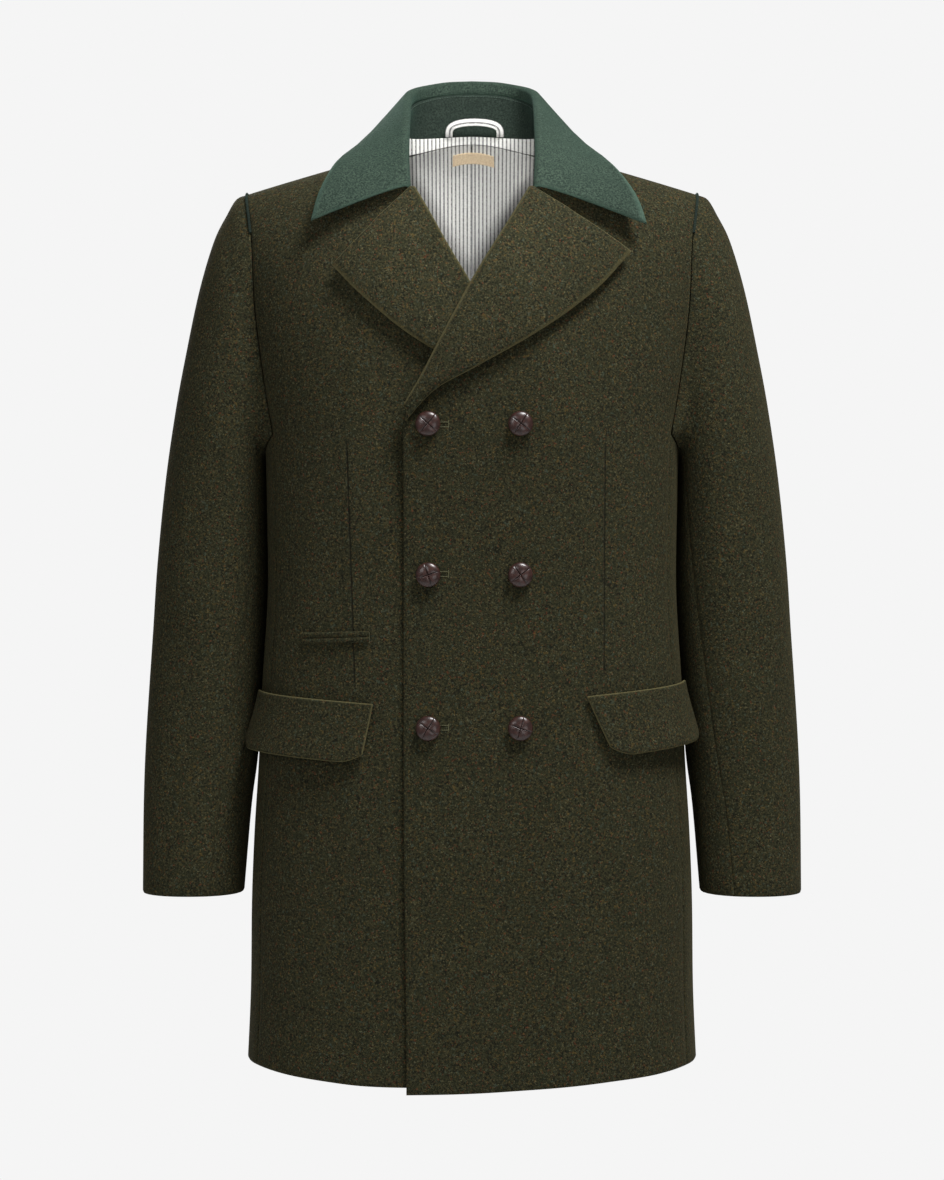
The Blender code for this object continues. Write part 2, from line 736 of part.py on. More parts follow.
def make_label():
    lift = -(CLOTH + LINING_GAP + LINING_CLOTH + LABEL_GAP)
    places = []
    for tall in (-LABEL_TALL / 2, LABEL_TALL / 2):
        level = LABEL_LEVEL + tall * -ARMPIT / (shoulder_height(0.0) - ARMPIT)
        places.append([(level, angle_at(level, LABEL_X + mix(-0.5, 0.5, u) * LABEL_WIDE, back=True), lift)
                       for u in steps(4)])
    outer, inner = wall_grids(places, "left", LABEL_CLOTH)
    cloth_wall("label", outer, inner, TAPE, 0.7)


def loop_centre(share):
    turn = math.pi * share
    rise = math.sin(turn) ** LOOP_SQUARE if 0 < share < 1 else 0.0
    x = LOOP_MIDDLE_X - LOOP_HALF * math.cos(turn)
    return Vector((x, LOOP_FOOT_Y - LOOP_BOW * rise, LOOP_FOOT_Z + LOOP_RISE * rise))


def make_hanger_loop():
    outer, inner = [], []
    for share in steps(LOOP_STEPS):
        run = loop_centre(min(share + 0.02, 1.0)) - loop_centre(max(share - 0.02, 0.0))
        across = Vector((-run.z, 0.0, run.x)).normalized() * LOOP_STRAP / 2
        row = [loop_centre(share) + across * side for side in (-1.0, 0.0, 1.0)]
        outer.append(row)
        inner.append([point + Vector((0.0, LOOP_CLOTH, 0.0)) for point in row])
    cloth_wall("hanger_loop", outer, inner, STRIPED_COTTON, 0.8)


def make_button(number, x, level):
    angle = angle_at(level, x)
    normal = surface_normal(level, angle)
    lift = overlap_lift("left", level, x) + BUTTON_GAP + BUTTON_HALF_HEIGHT
    place = Matrix.Translation(body_point(level, angle, lift) * MM)
    turn = normal.to_track_quat("Z", "Y").to_matrix().to_4x4()
    size = Matrix.Diagonal((BUTTON_RADIUS * MM, BUTTON_RADIUS * MM, BUTTON_HALF_HEIGHT * MM, 1.0))
    name = "button_%d" % number
    mesh = bpy.data.meshes.new(name)
    bm = bmesh.new()
    bmesh.ops.create_uvsphere(bm, u_segments=14, v_segments=8, radius=1.0, matrix=place @ turn @ size)
    bm.to_mesh(mesh)
    bm.free()
    mesh.shade_smooth()
    add_object(name, mesh, LEATHER, 0.35)


def piping_path():
    """Middle of the piping, resting in the crease between body and sleeve."""
    outer, inner, _, _ = sleeve_grids()
    count = len(outer[0])
    path = []
    front = [(level, "front_x", False) for level, _ in front_upper_rows() if level > PIPING_FRONT_LEVEL]
    back = [(level, "back_x", True) for level, _ in reversed(back_upper_rows()[:-1])
            if level > PIPING_BACK_LEVEL]
    ends = ([(PIPING_FRONT_LEVEL, "front_x", False)], [(PIPING_BACK_LEVEL, "back_x", True)])
    for level, column, behind in ends[0] + front + back + ends[1]:
        angle = angle_at(level, table_at(ARMHOLE, column, level), back=behind)
        point = body_point(level, angle) + Vector((SEAM_GAP / 2, 0.0, 0.0))
        nearest = min(range(count), key=lambda i: (outer[0][i] - point).length)
        sleeve_normal = (outer[0][nearest] - inner[0][nearest]).normalized()
        body_normal = surface_normal(level, angle)
        between = (body_normal + sleeve_normal).normalized()
        rise = (PIPING_RADIUS + PIPING_GAP) / max(between.dot(body_normal), 0.5)
        path.append(point + between * rise)
    return path


def make_piping(hand):
    curve = bpy.data.curves.new("piping_path_" + hand, "CURVE")
    curve.dimensions = "3D"
    curve.bevel_depth = PIPING_RADIUS * MM
    curve.bevel_resolution = 2
    curve.use_fill_caps = True
    path = piping_path()
    spline = curve.splines.new("POLY")
    spline.points.add(len(path) - 1)
    for spot, point in zip(spline.points, path):
        spot.co = (point.x * SIDES[hand] * MM, point.y * MM, point.z * MM, 1.0)
    add_object("piping_" + hand, curve, FELT, 0.9)


for old in list(bpy.data.objects):
    bpy.data.objects.remove(old, do_unlink=True)
coat = bpy.data.collections.new("coat")
bpy.context.scene.collection.children.link(coat)

for hand in SIDES:
    make_front(hand)
    make_side(hand)
    make_back(hand)
    make_sleeve(hand)
    make_lapel(hand)
    make_lining(hand)
    make_piping(hand)
for flap in FLAPS:
    make_flap(flap)
make_collar_fall()
make_collar_stand()
make_ticket_lip("ticket_lip_lower", -TICKET_LIP - SEAM_GAP / 2)
make_ticket_lip("ticket_lip_upper", SEAM_GAP / 2)
make_label()
make_hanger_loop()
number = 0
for level in BUTTON_ROWS:
    for x in BUTTON_COLUMNS:
        number += 1
        make_button(number, x, level)
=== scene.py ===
"""A double-breasted wool coat dressed over its solids: filled out as worn, with nobody in it.

Millimetres are used for the cut, as in the solids: X to the wearer's left, Y to the
back, Z up, from the middle of the shoulder line. Meshes are written in metres.
"""
import bisect
import math
from collections import namedtuple

import bmesh
import bpy
from mathutils import Matrix, Vector


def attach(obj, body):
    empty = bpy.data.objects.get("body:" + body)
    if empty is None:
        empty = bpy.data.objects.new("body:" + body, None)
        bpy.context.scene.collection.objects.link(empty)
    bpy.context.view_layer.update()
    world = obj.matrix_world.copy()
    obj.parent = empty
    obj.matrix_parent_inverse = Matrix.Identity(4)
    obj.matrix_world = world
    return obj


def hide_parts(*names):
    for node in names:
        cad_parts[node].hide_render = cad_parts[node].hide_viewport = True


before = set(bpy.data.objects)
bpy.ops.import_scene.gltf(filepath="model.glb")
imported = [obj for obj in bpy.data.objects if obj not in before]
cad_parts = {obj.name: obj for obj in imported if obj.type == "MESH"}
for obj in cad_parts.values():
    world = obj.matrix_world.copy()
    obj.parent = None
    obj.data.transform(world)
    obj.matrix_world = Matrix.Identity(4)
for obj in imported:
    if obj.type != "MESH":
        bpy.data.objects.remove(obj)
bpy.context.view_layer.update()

# Wool cloth. A heavy milled wool in mottled olive, spun from dyed fibres of
# several colours, so flecks of ochre, rust and grey-green show all over it.
class Wire:
    """A shader value that adds, multiplies and mixes like a number."""

    def __init__(self, tree, socket):
        self.tree, self.socket = tree, socket

    def make(self, kind, settings, sockets, output=0):
        node = self.tree.nodes.new("ShaderNode" + kind)
        for key, value in settings.items():
            setattr(node, key, value)
        for key, value in sockets.items():
            if isinstance(value, Wire):
                self.tree.links.new(value.socket, node.inputs[key])
            else:
                node.inputs[key].default_value = value
        return Wire(self.tree, node.outputs[output])

    def maths(self, operation, first, second=0.0):
        return self.make("Math", {"operation": operation}, {0: first, 1: second})

    def __add__(self, other):
        return self.maths("ADD", self, other)

    __radd__ = __add__

    def __sub__(self, other):
        return self.maths("SUBTRACT", self, other)

    def __rsub__(self, other):
        return self.maths("SUBTRACT", other, self)

    def __mul__(self, other):
        return self.maths("MULTIPLY", self, other)

    __rmul__ = __mul__

    def smooth(self, low, high):
        """0 below low, 1 above high, eased between."""
        settings = {"interpolation_type": "SMOOTHSTEP"}
        return self.make("MapRange", settings, {"Value": self, "From Min": low, "From Max": high})

    def blend(self, start, end):
        """Colour from start to end, this value being the share."""
        return self.make("Mix", {"data_type": "RGBA"}, {0: self, 6: start, 7: end}, output=2)


def srgb(red, green, blue):
    """Linear colour of a shade read in 0 to 255."""
    return tuple((c / 255 / 12.92) if c < 10.3 else ((c / 255 + 0.055) / 1.055) ** 2.4
                 for c in (red, green, blue)) + (1.0,)


def start_material(name, **shader_sockets):
    """New material, a wire of its object coordinates, and its shader."""
    material = bpy.data.materials.new(name)
    material.use_nodes = True
    tree = material.node_tree
    shader = tree.nodes["Principled BSDF"]
    for key, value in shader_sockets.items():
        shader.inputs[key.replace("_", " ")].default_value = value
    place = Wire(tree, tree.nodes.new("ShaderNodeTexCoord").outputs["Object"])
    return material, place, shader


def noise(place, scale, detail=2.0, output=0):
    settings = {"noise_dimensions": "3D"}
    return place.make("TexNoise", settings, {"Vector": place, "Scale": scale, "Detail": detail}, output)


def plug(shader, **wires):
    for key, wire in wires.items():
        wire.tree.links.new(wire.socket, shader.inputs[key.replace("_", " ")])


def bumped(height, strength, distance):
    return height.make("Bump", {}, {"Height": height, "Strength": strength, "Distance": distance})


def wool_material(name, darts=(), edge=0.0):
    material, place, shader = start_material(name, Roughness=0.95, Sheen_Weight=0.1, Sheen_Roughness=0.5)
    shader.inputs["Sheen Tint"].default_value = srgb(150, 140, 95)
    shader.inputs["Specular IOR Level"].default_value = 0.18
    patch = noise(place, 150.0, 3.0)
    grain = noise(place, 520.0, 3.0)
    hair = noise(place, 1300.0, 1.0)
    colour = grain.smooth(0.34, 0.68).blend(srgb(23, 25, 15), srgb(68, 65, 42))
    colour = (patch.smooth(0.42, 0.62) * 0.5).blend(colour, srgb(45, 48, 30))
    for scale, low, high, share, shade in (
            (390.0, 0.60, 0.70, 0.55, (104, 84, 42)),
            (430.0, 0.63, 0.71, 0.60, (106, 58, 36)),
            (350.0, 0.60, 0.70, 0.50, (74, 86, 72)),
            (610.0, 0.62, 0.70, 0.55, (116, 112, 82))):
        apart = (scale, low * 50.0, share * 30.0)
        shifted = place.make("VectorMath", {"operation": "ADD"}, {0: place, 1: apart})
        colour = (noise(shifted, scale, 2.0).smooth(low, high) * share).blend(colour, srgb(*shade))
    colour = ((1.0 - hair.smooth(0.30, 0.62)) * 0.55).blend(colour, srgb(15, 17, 10))
    # Painted highlight: the border points, marked by the edge attribute, are lightened by the share given as
    # edge, for light caught on the cut edges.
    rim = place.make("Attribute", {"attribute_name": "edge"}, {}, output=2)
    colour = (rim * edge).blend(colour, srgb(124, 116, 78))
    height = grain * 0.6 + hair * 0.5
    x, y, z = (place.make("SeparateXYZ", {}, {0: place}, output=k) for k in range(3))
    # Each dart is drawn as a thin line of painted shade, near black, for the shadow in its crease, with a
    # shallow groove in the bump.
    for dart in darts:
        lean = (dart.low_x - dart.high_x) / (dart.low_z - dart.high_z)
        off = (x - (z - dart.high_z * MM) * lean) - dart.high_x * MM
        line = 1.0 - off.maths("ABSOLUTE", off).smooth(0.0, DART_WIDE * MM)
        line = line * z.smooth(dart.low_z * MM, (dart.low_z + DART_FADE) * MM)
        line = line * (1.0 - z.smooth((dart.high_z - DART_FADE) * MM, dart.high_z * MM))
        line = line * (1.0 - y.smooth(-0.05, 0.0))
        colour = (line * 0.75).blend(colour, srgb(12, 13, 8))
        height = height - line * 1.5
    plug(shader, Base_Color=colour, Normal=bumped(height, 0.55, 0.0012))
    return material


MM = 0.001
wool = wool_material("wool")
# Wool of the lapels and flaps, with a painted highlight along their borders.
highlit_edge_wool = wool_material("highlit_edge_wool", edge=0.5)

# Body form. Half width and depths of the filled coat at each level, squared off
# like a jacket's section, that every panel, lapel and flap below lies on.
CLOTH = 2.5
DOUBLE_CLOTH = 4.0
STAND_CLOTH = 3.5
FLAP_CLOTH = 3.0
LINING_CLOTH = 1.2
SEAM_GAP = 0.3
SHOULDER_SEAM_GAP = 0.5
RIM_DRAW = 0.3
RIM_FINE = 1.3
Section = namedtuple("Section", "level half_width front_depth back_depth")
BODY = [
    Section(-845, 216.5, 137, 129),
    Section(-763, 213.0, 135, 124),
    Section(-677, 212.0, 133, 120),
    Section(-612, 209.5, 132, 117),
    Section(-547, 205.5, 130, 112),
    Section(-469, 202.0, 128, 105),
    Section(-408, 198.0, 127, 99),
    Section(-372, 196.7, 127, 97),
    Section(-309, 197.6, 129, 100),
    Section(-235, 200.0, 131, 106),
    Section(-190, 207.0, 131, 110),
    Section(-120, 220.0, 131, 113),
    Section(-60, 232.0, 131, 112),
    Section(0, 240.0, 131, 111),
]
SECTION_POWER = 2.75
ARMPIT = -235.0
FRONT_ROUNDING = 2.6
BACK_ROUNDING = 3.2
SHOULDER_X = 217.0
SHOULDER_SLOPE = 0.29
SHOULDER_SOFTEN = 30.0
NECK_RISE = 28.0
NECK_RISE_HALF = 90.0
SIDES = {"left": 1.0, "right": -1.0}


def mix(start, end, share):
    return start + (end - start) * share


def ease(share):
    share = min(max(share, 0.0), 1.0)
    return share * share * (3.0 - 2.0 * share)


def steps(count):
    return [i / count for i in range(count + 1)]


def table_at(rows, column, where):
    """Smooth curve through one column of a table, keyed by the table's first column."""
    keys = [row[0] for row in rows]
    values = [getattr(row, column) for row in rows]
    where = min(max(where, keys[0]), keys[-1])
    i = min(max(bisect.bisect_right(keys, where) - 1, 0), len(keys) - 2)

    def slope(k):
        low, high = max(k - 1, 0), min(k + 1, len(keys) - 1)
        return (values[high] - values[low]) / (keys[high] - keys[low])

    span = keys[i + 1] - keys[i]
    t = (where - keys[i]) / span
    rise = values[i + 1] - values[i]
    start, end = slope(i) * span, slope(i + 1) * span
    return values[i] + t * (start + t * (3 * rise - 2 * start - end + t * (start + end - 2 * rise)))


def shoulder_height(x):
    rise = max(0.0, 1.0 - (x / NECK_RISE_HALF) ** 2)
    run = math.hypot(SHOULDER_X, SHOULDER_SOFTEN) - math.hypot(x, SHOULDER_SOFTEN)
    return SHOULDER_SLOPE * run + NECK_RISE * rise


def surface(level, angle):
    """Point of the body's outer face; angle 0 is the centre front, 180 degrees the centre back."""
    width = table_at(BODY, "half_width", level)
    front = math.cos(angle) > 0
    depth = table_at(BODY, "front_depth" if front else "back_depth", level)
    across = abs(math.sin(angle) / width) ** SECTION_POWER
    along = abs(math.cos(angle) / depth) ** SECTION_POWER
    reach = (across + along) ** (-1.0 / SECTION_POWER)
    x = reach * math.sin(angle)
    y = -reach * math.cos(angle)
    if level <= ARMPIT:
        return Vector((x, y, level))
    rise = min((level - ARMPIT) / -ARMPIT, 1.0)
    power = FRONT_ROUNDING if front else BACK_ROUNDING
    y *= (1.0 - rise ** power) ** (1.0 / power)
    return Vector((x, y, ARMPIT + rise * (shoulder_height(x) - ARMPIT)))


def surface_normal(level, angle):
    low, high = level - 1.0, min(level + 1.0, 0.0)
    turn = 0.01
    around = surface(level, angle + turn) - surface(level, angle - turn)
    if level > -1.0:
        around = surface(low, angle + turn) - surface(low, angle - turn)
    upward = surface(high, angle) - surface(low, angle)
    return around.cross(upward).normalized()


def body_point(level, angle, lift=0.0):
    return surface(level, angle) + surface_normal(level, angle) * lift


def angle_at(level, x, back=False):
    width = table_at(BODY, "half_width", level)
    depth = table_at(BODY, "back_depth" if back else "front_depth", level)
    share = min(abs(x) / width, 1.0)
    y = depth * (1.0 - share ** SECTION_POWER) ** (1.0 / SECTION_POWER)
    angle = math.atan2(x, y)
    return math.pi - angle if back else angle


def level_at(x, z):
    if z <= ARMPIT:
        return z
    return ARMPIT - (z - ARMPIT) * ARMPIT / (shoulder_height(x) - ARMPIT)


def side_seam(level, back=False):
    return angle_at(level, SIDE_SEAM_SHARE * table_at(BODY, "half_width", level), back)


def nudge(level, angle, distance):
    """Angle that lies a small distance further round the body."""
    turn = 0.01
    speed = (surface(level, angle + turn) - surface(level, angle - turn)).length / (2 * turn)
    return angle + distance / speed


def mirrored(grid, hand):
    return [[Vector((p.x * SIDES[hand], p.y, p.z)) for p in row] for row in grid]


def cloth_grid(name, outer, inner, material, slot):
    """Closed cloth piece between two grids of points, its rim drawn in so the edge is round."""
    rows, columns = len(outer) - 1, len(outer[0]) - 1
    for r in range(rows + 1):
        for c in range(columns + 1):
            if r in (0, rows) or c in (0, columns):
                a, b = outer[r][c], inner[r][c]
                outer[r][c], inner[r][c] = a.lerp(b, RIM_DRAW), b.lerp(a, RIM_DRAW)
    bm = bmesh.new()
    rims = []
    for grid in (outer, inner):
        verts = bmesh.ops.create_grid(bm, x_segments=columns, y_segments=rows, size=1.0)["verts"]
        for k, vert in enumerate(verts):
            vert.co = grid[k // (columns + 1)][k % (columns + 1)] * MM
        rims += [e for e in {e for v in verts for e in v.link_edges} if e.is_boundary]
    bmesh.ops.bridge_loops(bm, edges=rims)
    bmesh.ops.recalc_face_normals(bm, faces=bm.faces)
    mesh = bpy.data.meshes.new(name)
    bm.to_mesh(mesh)
    bm.free()
    # Marks the border points with 1, where the edge materials paint a highlight.
    for k, spot in enumerate(mesh.attributes.new("edge", "FLOAT", "POINT").data):
        r, c = divmod(k % ((rows + 1) * (columns + 1)), columns + 1)
        spot.value = float(r in (0, rows) or c in (0, columns))
    return finish_piece(name, mesh, material)


def finish_piece(name, mesh, material):
    mesh.shade_smooth()
    mesh.materials.clear()
    mesh.materials.append(material)
    piece = bpy.data.objects.new("worn_" + name, mesh)
    bpy.context.scene.collection.objects.link(piece)
    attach(piece, "root")
    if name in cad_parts:
        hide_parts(name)
    return piece


def edged(count, fine):
    """Even shares from 0 to 1 with one fine step inside each end, for the round edge."""
    return [0.0, fine] + steps(count)[1:-1] + [1.0 - fine, 1.0]


def wall_grids(places, hand, thickness):
    """Outer and inner grid from rows of (level, angle, lift)."""
    outer, inner = [], []
    for row in places:
        spots = [(surface(level, angle), surface_normal(level, angle), lift) for level, angle, lift in row]
        outer.append([spot + normal * lift for spot, normal, lift in spots])
        inner.append([spot + normal * (lift - thickness) for spot, normal, lift in spots])
    return mirrored(outer, hand), mirrored(inner, hand)


# Soft troughs where the cloth falls in below the chest, over the hip and down the skirt:
# where each lies, its reach along and across, its lean and how far it sinks
Trough = namedtuple("Trough", "hand panel level angle along across lean depth")
TROUGHS = [
    Trough("left", "front", -318, 47, 105, 17, 0.10, 2.2),
    Trough("left", "front", -668, 43, 150, 22, -0.05, 2.6),
    Trough("left", "front", -712, 16, 120, 26, 0.04, 1.5),
    Trough("right", "front", -335, 49, 120, 16, -0.08, 2.0),
    Trough("right", "front", -690, 46, 140, 20, 0.05, 2.4),
    Trough("right", "front", -640, 24, 120, 24, -0.03, 1.4),
    Trough("left", "back", -330, 150, 110, 24, 0.12, 1.6),
    Trough("left", "back", -690, 163, 150, 26, -0.04, 1.7),
    Trough("left", "back", -650, 138, 160, 22, 0.06, 1.8),
    Trough("right", "back", -350, 153, 120, 22, -0.10, 1.7),
    Trough("right", "back", -705, 158, 150, 24, 0.05, 1.8),
    Trough("right", "back", -640, 136, 150, 22, -0.05, 1.6),
]
MM_PER_DEGREE = 3.4


def sink(hand, panel, level, angle):
    total = 0.0
    for trough in TROUGHS:
        if (trough.hand, trough.panel) != (hand, panel):
            continue
        along = level - trough.level
        across = (math.degrees(angle) - trough.angle) * MM_PER_DEGREE - along * trough.lean
        total -= trough.depth * math.exp(-(along / trough.along) ** 2 - (across / trough.across) ** 2)
    return total


# Fronts. Cut whole from shoulder to hem with one long dart each; the wearer's left
# laps over the right, and both turn out into the lapels above the top button.
Dart = namedtuple("Dart", "high_x high_z low_x low_z")
DARTS = [Dart(-116, -242, -108, -477), Dart(123, -241, 122, -466)]
DART_WIDE = 1.3
DART_FADE = 12.0
# Wool of the fronts, with the darts drawn in painted shade.
front_wool = wool_material("wool_fronts", DARTS)

SIDE_SEAM_SHARE = 0.94
HEM_SIDE = -829.0
Hem = namedtuple("Hem", "x left right")
HEM = [
    Hem(-63, 15.5, 7.0),
    Hem(0, 13.8, 8.5),
    Hem(65, 10.0, 9.4),
    Hem(105, 7.5, 8.5),
    Hem(140, 5.0, 5.6),
    Hem(170, 3.0, 3.2),
    Hem(203, 0.0, 0.0),
    Hem(216, 0.0, 0.0),
]
FRONT_EDGE_HEM = -60.0
FRONT_EDGE_WAIST = -63.0
UNDERARM_DROP = 15.0
NECK_X = 75.0
GORGE_X = 57.0
NECK_CURVE = 0.7
BACK_NECK_LEVEL = -11.7
Armhole = namedtuple("Armhole", "level front_x back_x")
ARMHOLE = [
    Armhole(-235, 188, 188),
    Armhole(-190, 196, 194),
    Armhole(-120, 205, 201),
    Armhole(-50, 209, 207),
    Armhole(0, 217, 217),
]
# How far the lapping left front rides out and the right one sinks in
Overlap = namedtuple("Overlap", "level left right full_x none_x")
OVERLAP = [
    Overlap(-845, 1.8, -2.6, 70, 135),
    Overlap(-320, 1.8, -2.6, 70, 135),
    Overlap(-240, 4.0, -9.0, 68, 130),
    Overlap(-160, 5.5, -14.0, 44, 107),
    Overlap(-100, 5.5, -13.0, 12, 75),
    Overlap(-50, 2.0, -4.0, -25, 45),
    Overlap(0, 0.0, 0.0, -60, 20),
]
Lapel = namedtuple("Lapel", "row roll_x roll_z left_x left_z right_x right_z")
LAPEL = [
    Lapel(0, -59.0, -216, -60.0, -227, -60.0, -227),
    Lapel(1, -43.4, -190, -33.0, -199, -33.0, -199),
    Lapel(2, -23.7, -152, 5.0, -178, 5.0, -178),
    Lapel(3, 4.3, -100, 62.0, -145, 60.0, -145),
    Lapel(4, 30.6, -56, 112.0, -107, 99.0, -113),
    Lapel(5, GORGE_X, -10, 144.6, -70.6, 127.0, -84),
]
LAPEL_ROWS = 40
NECK_ROWS = 8
LOWER_ROWS = 88
FRONT_COLUMNS = 46
FRONT_FINE = 0.0042
HEM_FINE = 0.0022


def overlap_lift(hand, level, x):
    none, full = table_at(OVERLAP, "none_x", level), table_at(OVERLAP, "full_x", level)
    share = ease((none - x) / (none - full))
    return share * table_at(OVERLAP, hand, level)


def front_point(hand, x, z, lift):
    level = level_at(x, z)
    return body_point(level, angle_at(level, x), lift + overlap_lift(hand, level, x))


def roll_row(row):
    return (table_at(LAPEL, "roll_x", row), table_at(LAPEL, "roll_z", row))


def lapel_rows():
    return [share * LAPEL[-1].row for share in steps(LAPEL_ROWS)]


def gorge_level():
    return level_at(GORGE_X, LAPEL[-1].roll_z)


def neck_front(share):
    """Level and X along the front neck seam, from the gorge to the shoulder seam."""
    level = gorge_level() * (1.0 - share) ** 2
    return level, mix(GORGE_X, NECK_X, share ** NECK_CURVE)


def neck_back(share):
    """Level and X along the back neck seam, from the centre back to the shoulder seam."""
    turn = share * math.pi / 2
    return BACK_NECK_LEVEL * math.cos(turn) ** 2, NECK_X * math.sin(turn)


def front_upper_rows():
    """Level and inner X of the front's rows above the armpit."""
    rows = []
    for row in lapel_rows():
        x, z = roll_row(row)
        rows.append((level_at(x, z), x + SEAM_GAP))
    return rows + [neck_front(share) for share in steps(NECK_ROWS)[1:]]


def part_shoulder(grid, push):
    grid[-1] = [p + Vector((0.0, push, 0.0)) for p in grid[-1]]


def make_front(hand):
    def place(level, angle):
        lift = overlap_lift(hand, level, surface(level, angle).x)
        return level, angle, lift + sink(hand, "front", level, angle)

    places = []
    for share in [0.0, HEM_FINE] + steps(LOWER_ROWS)[1:]:
        row = []
        for u in edged(FRONT_COLUMNS, FRONT_FINE):
            hem_angle = mix(angle_at(HEM_SIDE, FRONT_EDGE_HEM), side_seam(HEM_SIDE), u)
            dip = table_at(HEM, hand, surface(HEM_SIDE, hem_angle).x)
            level = mix(HEM_SIDE - dip, ARMPIT, share)
            first = angle_at(level, mix(FRONT_EDGE_HEM, FRONT_EDGE_WAIST, ease(2 * share)))
            last = side_seam(level)
            row.append(place(level, mix(first, nudge(level, last, -SEAM_GAP / 2), u)))
        places.append(row)
    for level, x in front_upper_rows():
        first = angle_at(level, x)
        last = angle_at(level, table_at(ARMHOLE, "front_x", level))
        places.append([place(level, mix(first, last, u)) for u in edged(FRONT_COLUMNS, FRONT_FINE)])
    outer, inner = wall_grids(places, hand, CLOTH)
    for grid in (outer, inner):
        part_shoulder(grid, -SHOULDER_SEAM_GAP / 2)
    return cloth_grid("front_" + hand, outer, inner, front_wool, "wool")


for hand in SIDES:
    front = make_front(hand)


# Backs. Two halves with a seam down the centre, sewn to the fronts at the shoulders.
# The skirt hangs straight below the waist.
BACK_COLUMNS = 30
BACK_FINE = 0.006
BACK_UPPER_ROWS = 36
BACK_NECK_ROWS = 12


def back_upper_rows():
    rises = [math.sin(share * math.pi / 2) for share in steps(BACK_UPPER_ROWS)[1:]]
    straight = [mix(ARMPIT, BACK_NECK_LEVEL, rise) for rise in rises]
    return [(level, 0.0) for level in straight] + [neck_back(share) for share in steps(BACK_NECK_ROWS)[1:]]


def make_back(hand):
    def place(level, angle):
        return level, angle, sink(hand, "back", level, angle)

    places = []
    for share in [0.0, HEM_FINE] + steps(LOWER_ROWS)[1:]:
        level = mix(HEM_SIDE, ARMPIT, share)
        first = nudge(level, math.pi, -SEAM_GAP / 2)
        last = nudge(level, side_seam(level, back=True), SEAM_GAP / 2)
        places.append([place(level, mix(first, last, u)) for u in edged(BACK_COLUMNS, BACK_FINE)])
    for level, x in back_upper_rows():
        first = nudge(min(level, -1.0), angle_at(level, x, back=True), -SEAM_GAP / 2)
        last = angle_at(level, table_at(ARMHOLE, "back_x", level), back=True)
        places.append([place(level, mix(first, last, u)) for u in edged(BACK_COLUMNS, BACK_FINE)])
    outer, inner = wall_grids(places, hand, CLOTH)
    for grid in (outer, inner):
        part_shoulder(grid, SHOULDER_SEAM_GAP / 2)
    return cloth_grid("back_" + hand, outer, inner, wool, "wool")


for hand in SIDES:
    back = make_back(hand)


# Sides. A narrow panel under each arm, from the armhole's lowest point to the hem,
# of the same wool and sewn between front and back.
SIDE_COLUMNS = 16
SIDE_FINE = 0.011


def underarm_level(u):
    return ARMPIT - UNDERARM_DROP * (1.0 - (2.0 * u - 1.0) ** 2)


def side_angle(level, u):
    first = nudge(level, side_seam(level), SEAM_GAP / 2)
    last = nudge(level, side_seam(level, back=True), -SEAM_GAP / 2)
    return mix(first, last, u)


def make_side(hand):
    places = []
    for share in [0.0, HEM_FINE] + steps(LOWER_ROWS)[1:-1] + [1.0 - HEM_FINE, 1.0]:
        row = []
        for u in edged(SIDE_COLUMNS, SIDE_FINE):
            level = mix(HEM_SIDE, underarm_level(u), share)
            row.append((level, side_angle(level, u), 0.0))
        places.append(row)
    outer, inner = wall_grids(places, hand, CLOTH)
    return cloth_grid("side_" + hand, outer, inner, wool, "wool")


for hand in SIDES:
    side = make_side(hand)


# Sleeves. Two pieces each, a wide top and a narrow under sleeve, set into the armhole
# and hanging slightly forward with a little slack at the elbow.
Ring = namedtuple("Ring", "row outer_x outer_z inner_x inner_z half_depth middle_y front_seam follow")
SLEEVE = [
    Ring(0, 217.0, 0, 199.0, -250, 68, 2, 150, 1.0),
    Ring(1, 227.5, -4, 200.0, -258, 70, 3, 149, 0.6),
    Ring(2, 237.0, -19, 199.6, -266, 72, 4, 148, 0.3),
    Ring(3, 249.6, -44, 199.2, -275, 74, 5, 147, 0.1),
    Ring(4, 264.0, -92, 198.7, -290, 75, 6, 146, 0.0),
    Ring(5, 277.0, -153, 198.1, -310, 75, 7, 144, 0.0),
    Ring(6, 287.0, -206, 197.6, -335, 73, 8, 141, 0.0),
    Ring(7, 297.0, -275, 197.3, -370, 71, 8, 137, 0.0),
    Ring(8, 305.0, -356, 199.3, -420, 68, 7, 133, 0.0),
    Ring(9, 309.0, -420, 202.4, -465, 64, 5, 129, 0.0),
    Ring(10, 315.0, -519, 207.5, -540, 58, 0, 123, 0.0),
    Ring(11, 317.0, -585, 213.5, -590, 54, -5, 119, 0.0),
    Ring(12, 317.0, -672, 220.0, -672, 51, -12, 115, 0.0),
]
SLEEVE_POWER = 2.2
BACK_SEAM_ANGLE = 236.0
SLEEVE_ROWS = 72
SLEEVE_FINE = 0.022


def armhole_loop():
    """Points round the armhole, from the shoulder down the front and up the back."""
    front = [(level, angle_at(level, table_at(ARMHOLE, "front_x", level)))
             for level, _ in reversed(front_upper_rows())]
    under = [(underarm_level(u), side_angle(underarm_level(u), u)) for u in steps(SIDE_COLUMNS)]
    back = [(level, angle_at(level, table_at(ARMHOLE, "back_x", level), back=True))
            for level, _ in back_upper_rows()[:-1]]
    return [body_point(*place) + Vector((SEAM_GAP, 0.0, 0.0)) for place in front + under + back]


def ring_point(ring, angle):
    """Point of a sleeve ring; angle 0 is its outer side, a quarter turn its front."""
    across, along = math.cos(angle), math.sin(angle)
    bulge = (abs(across) ** SLEEVE_POWER + abs(along) ** SLEEVE_POWER) ** (-1.0 / SLEEVE_POWER)
    half = Vector((ring.outer_x - ring.inner_x, 0.0, ring.outer_z - ring.inner_z)) / 2
    middle = Vector((ring.inner_x, ring.middle_y, ring.inner_z)) + half
    return middle + half * across * bulge - Vector((0.0, ring.half_depth, 0.0)) * along * bulge


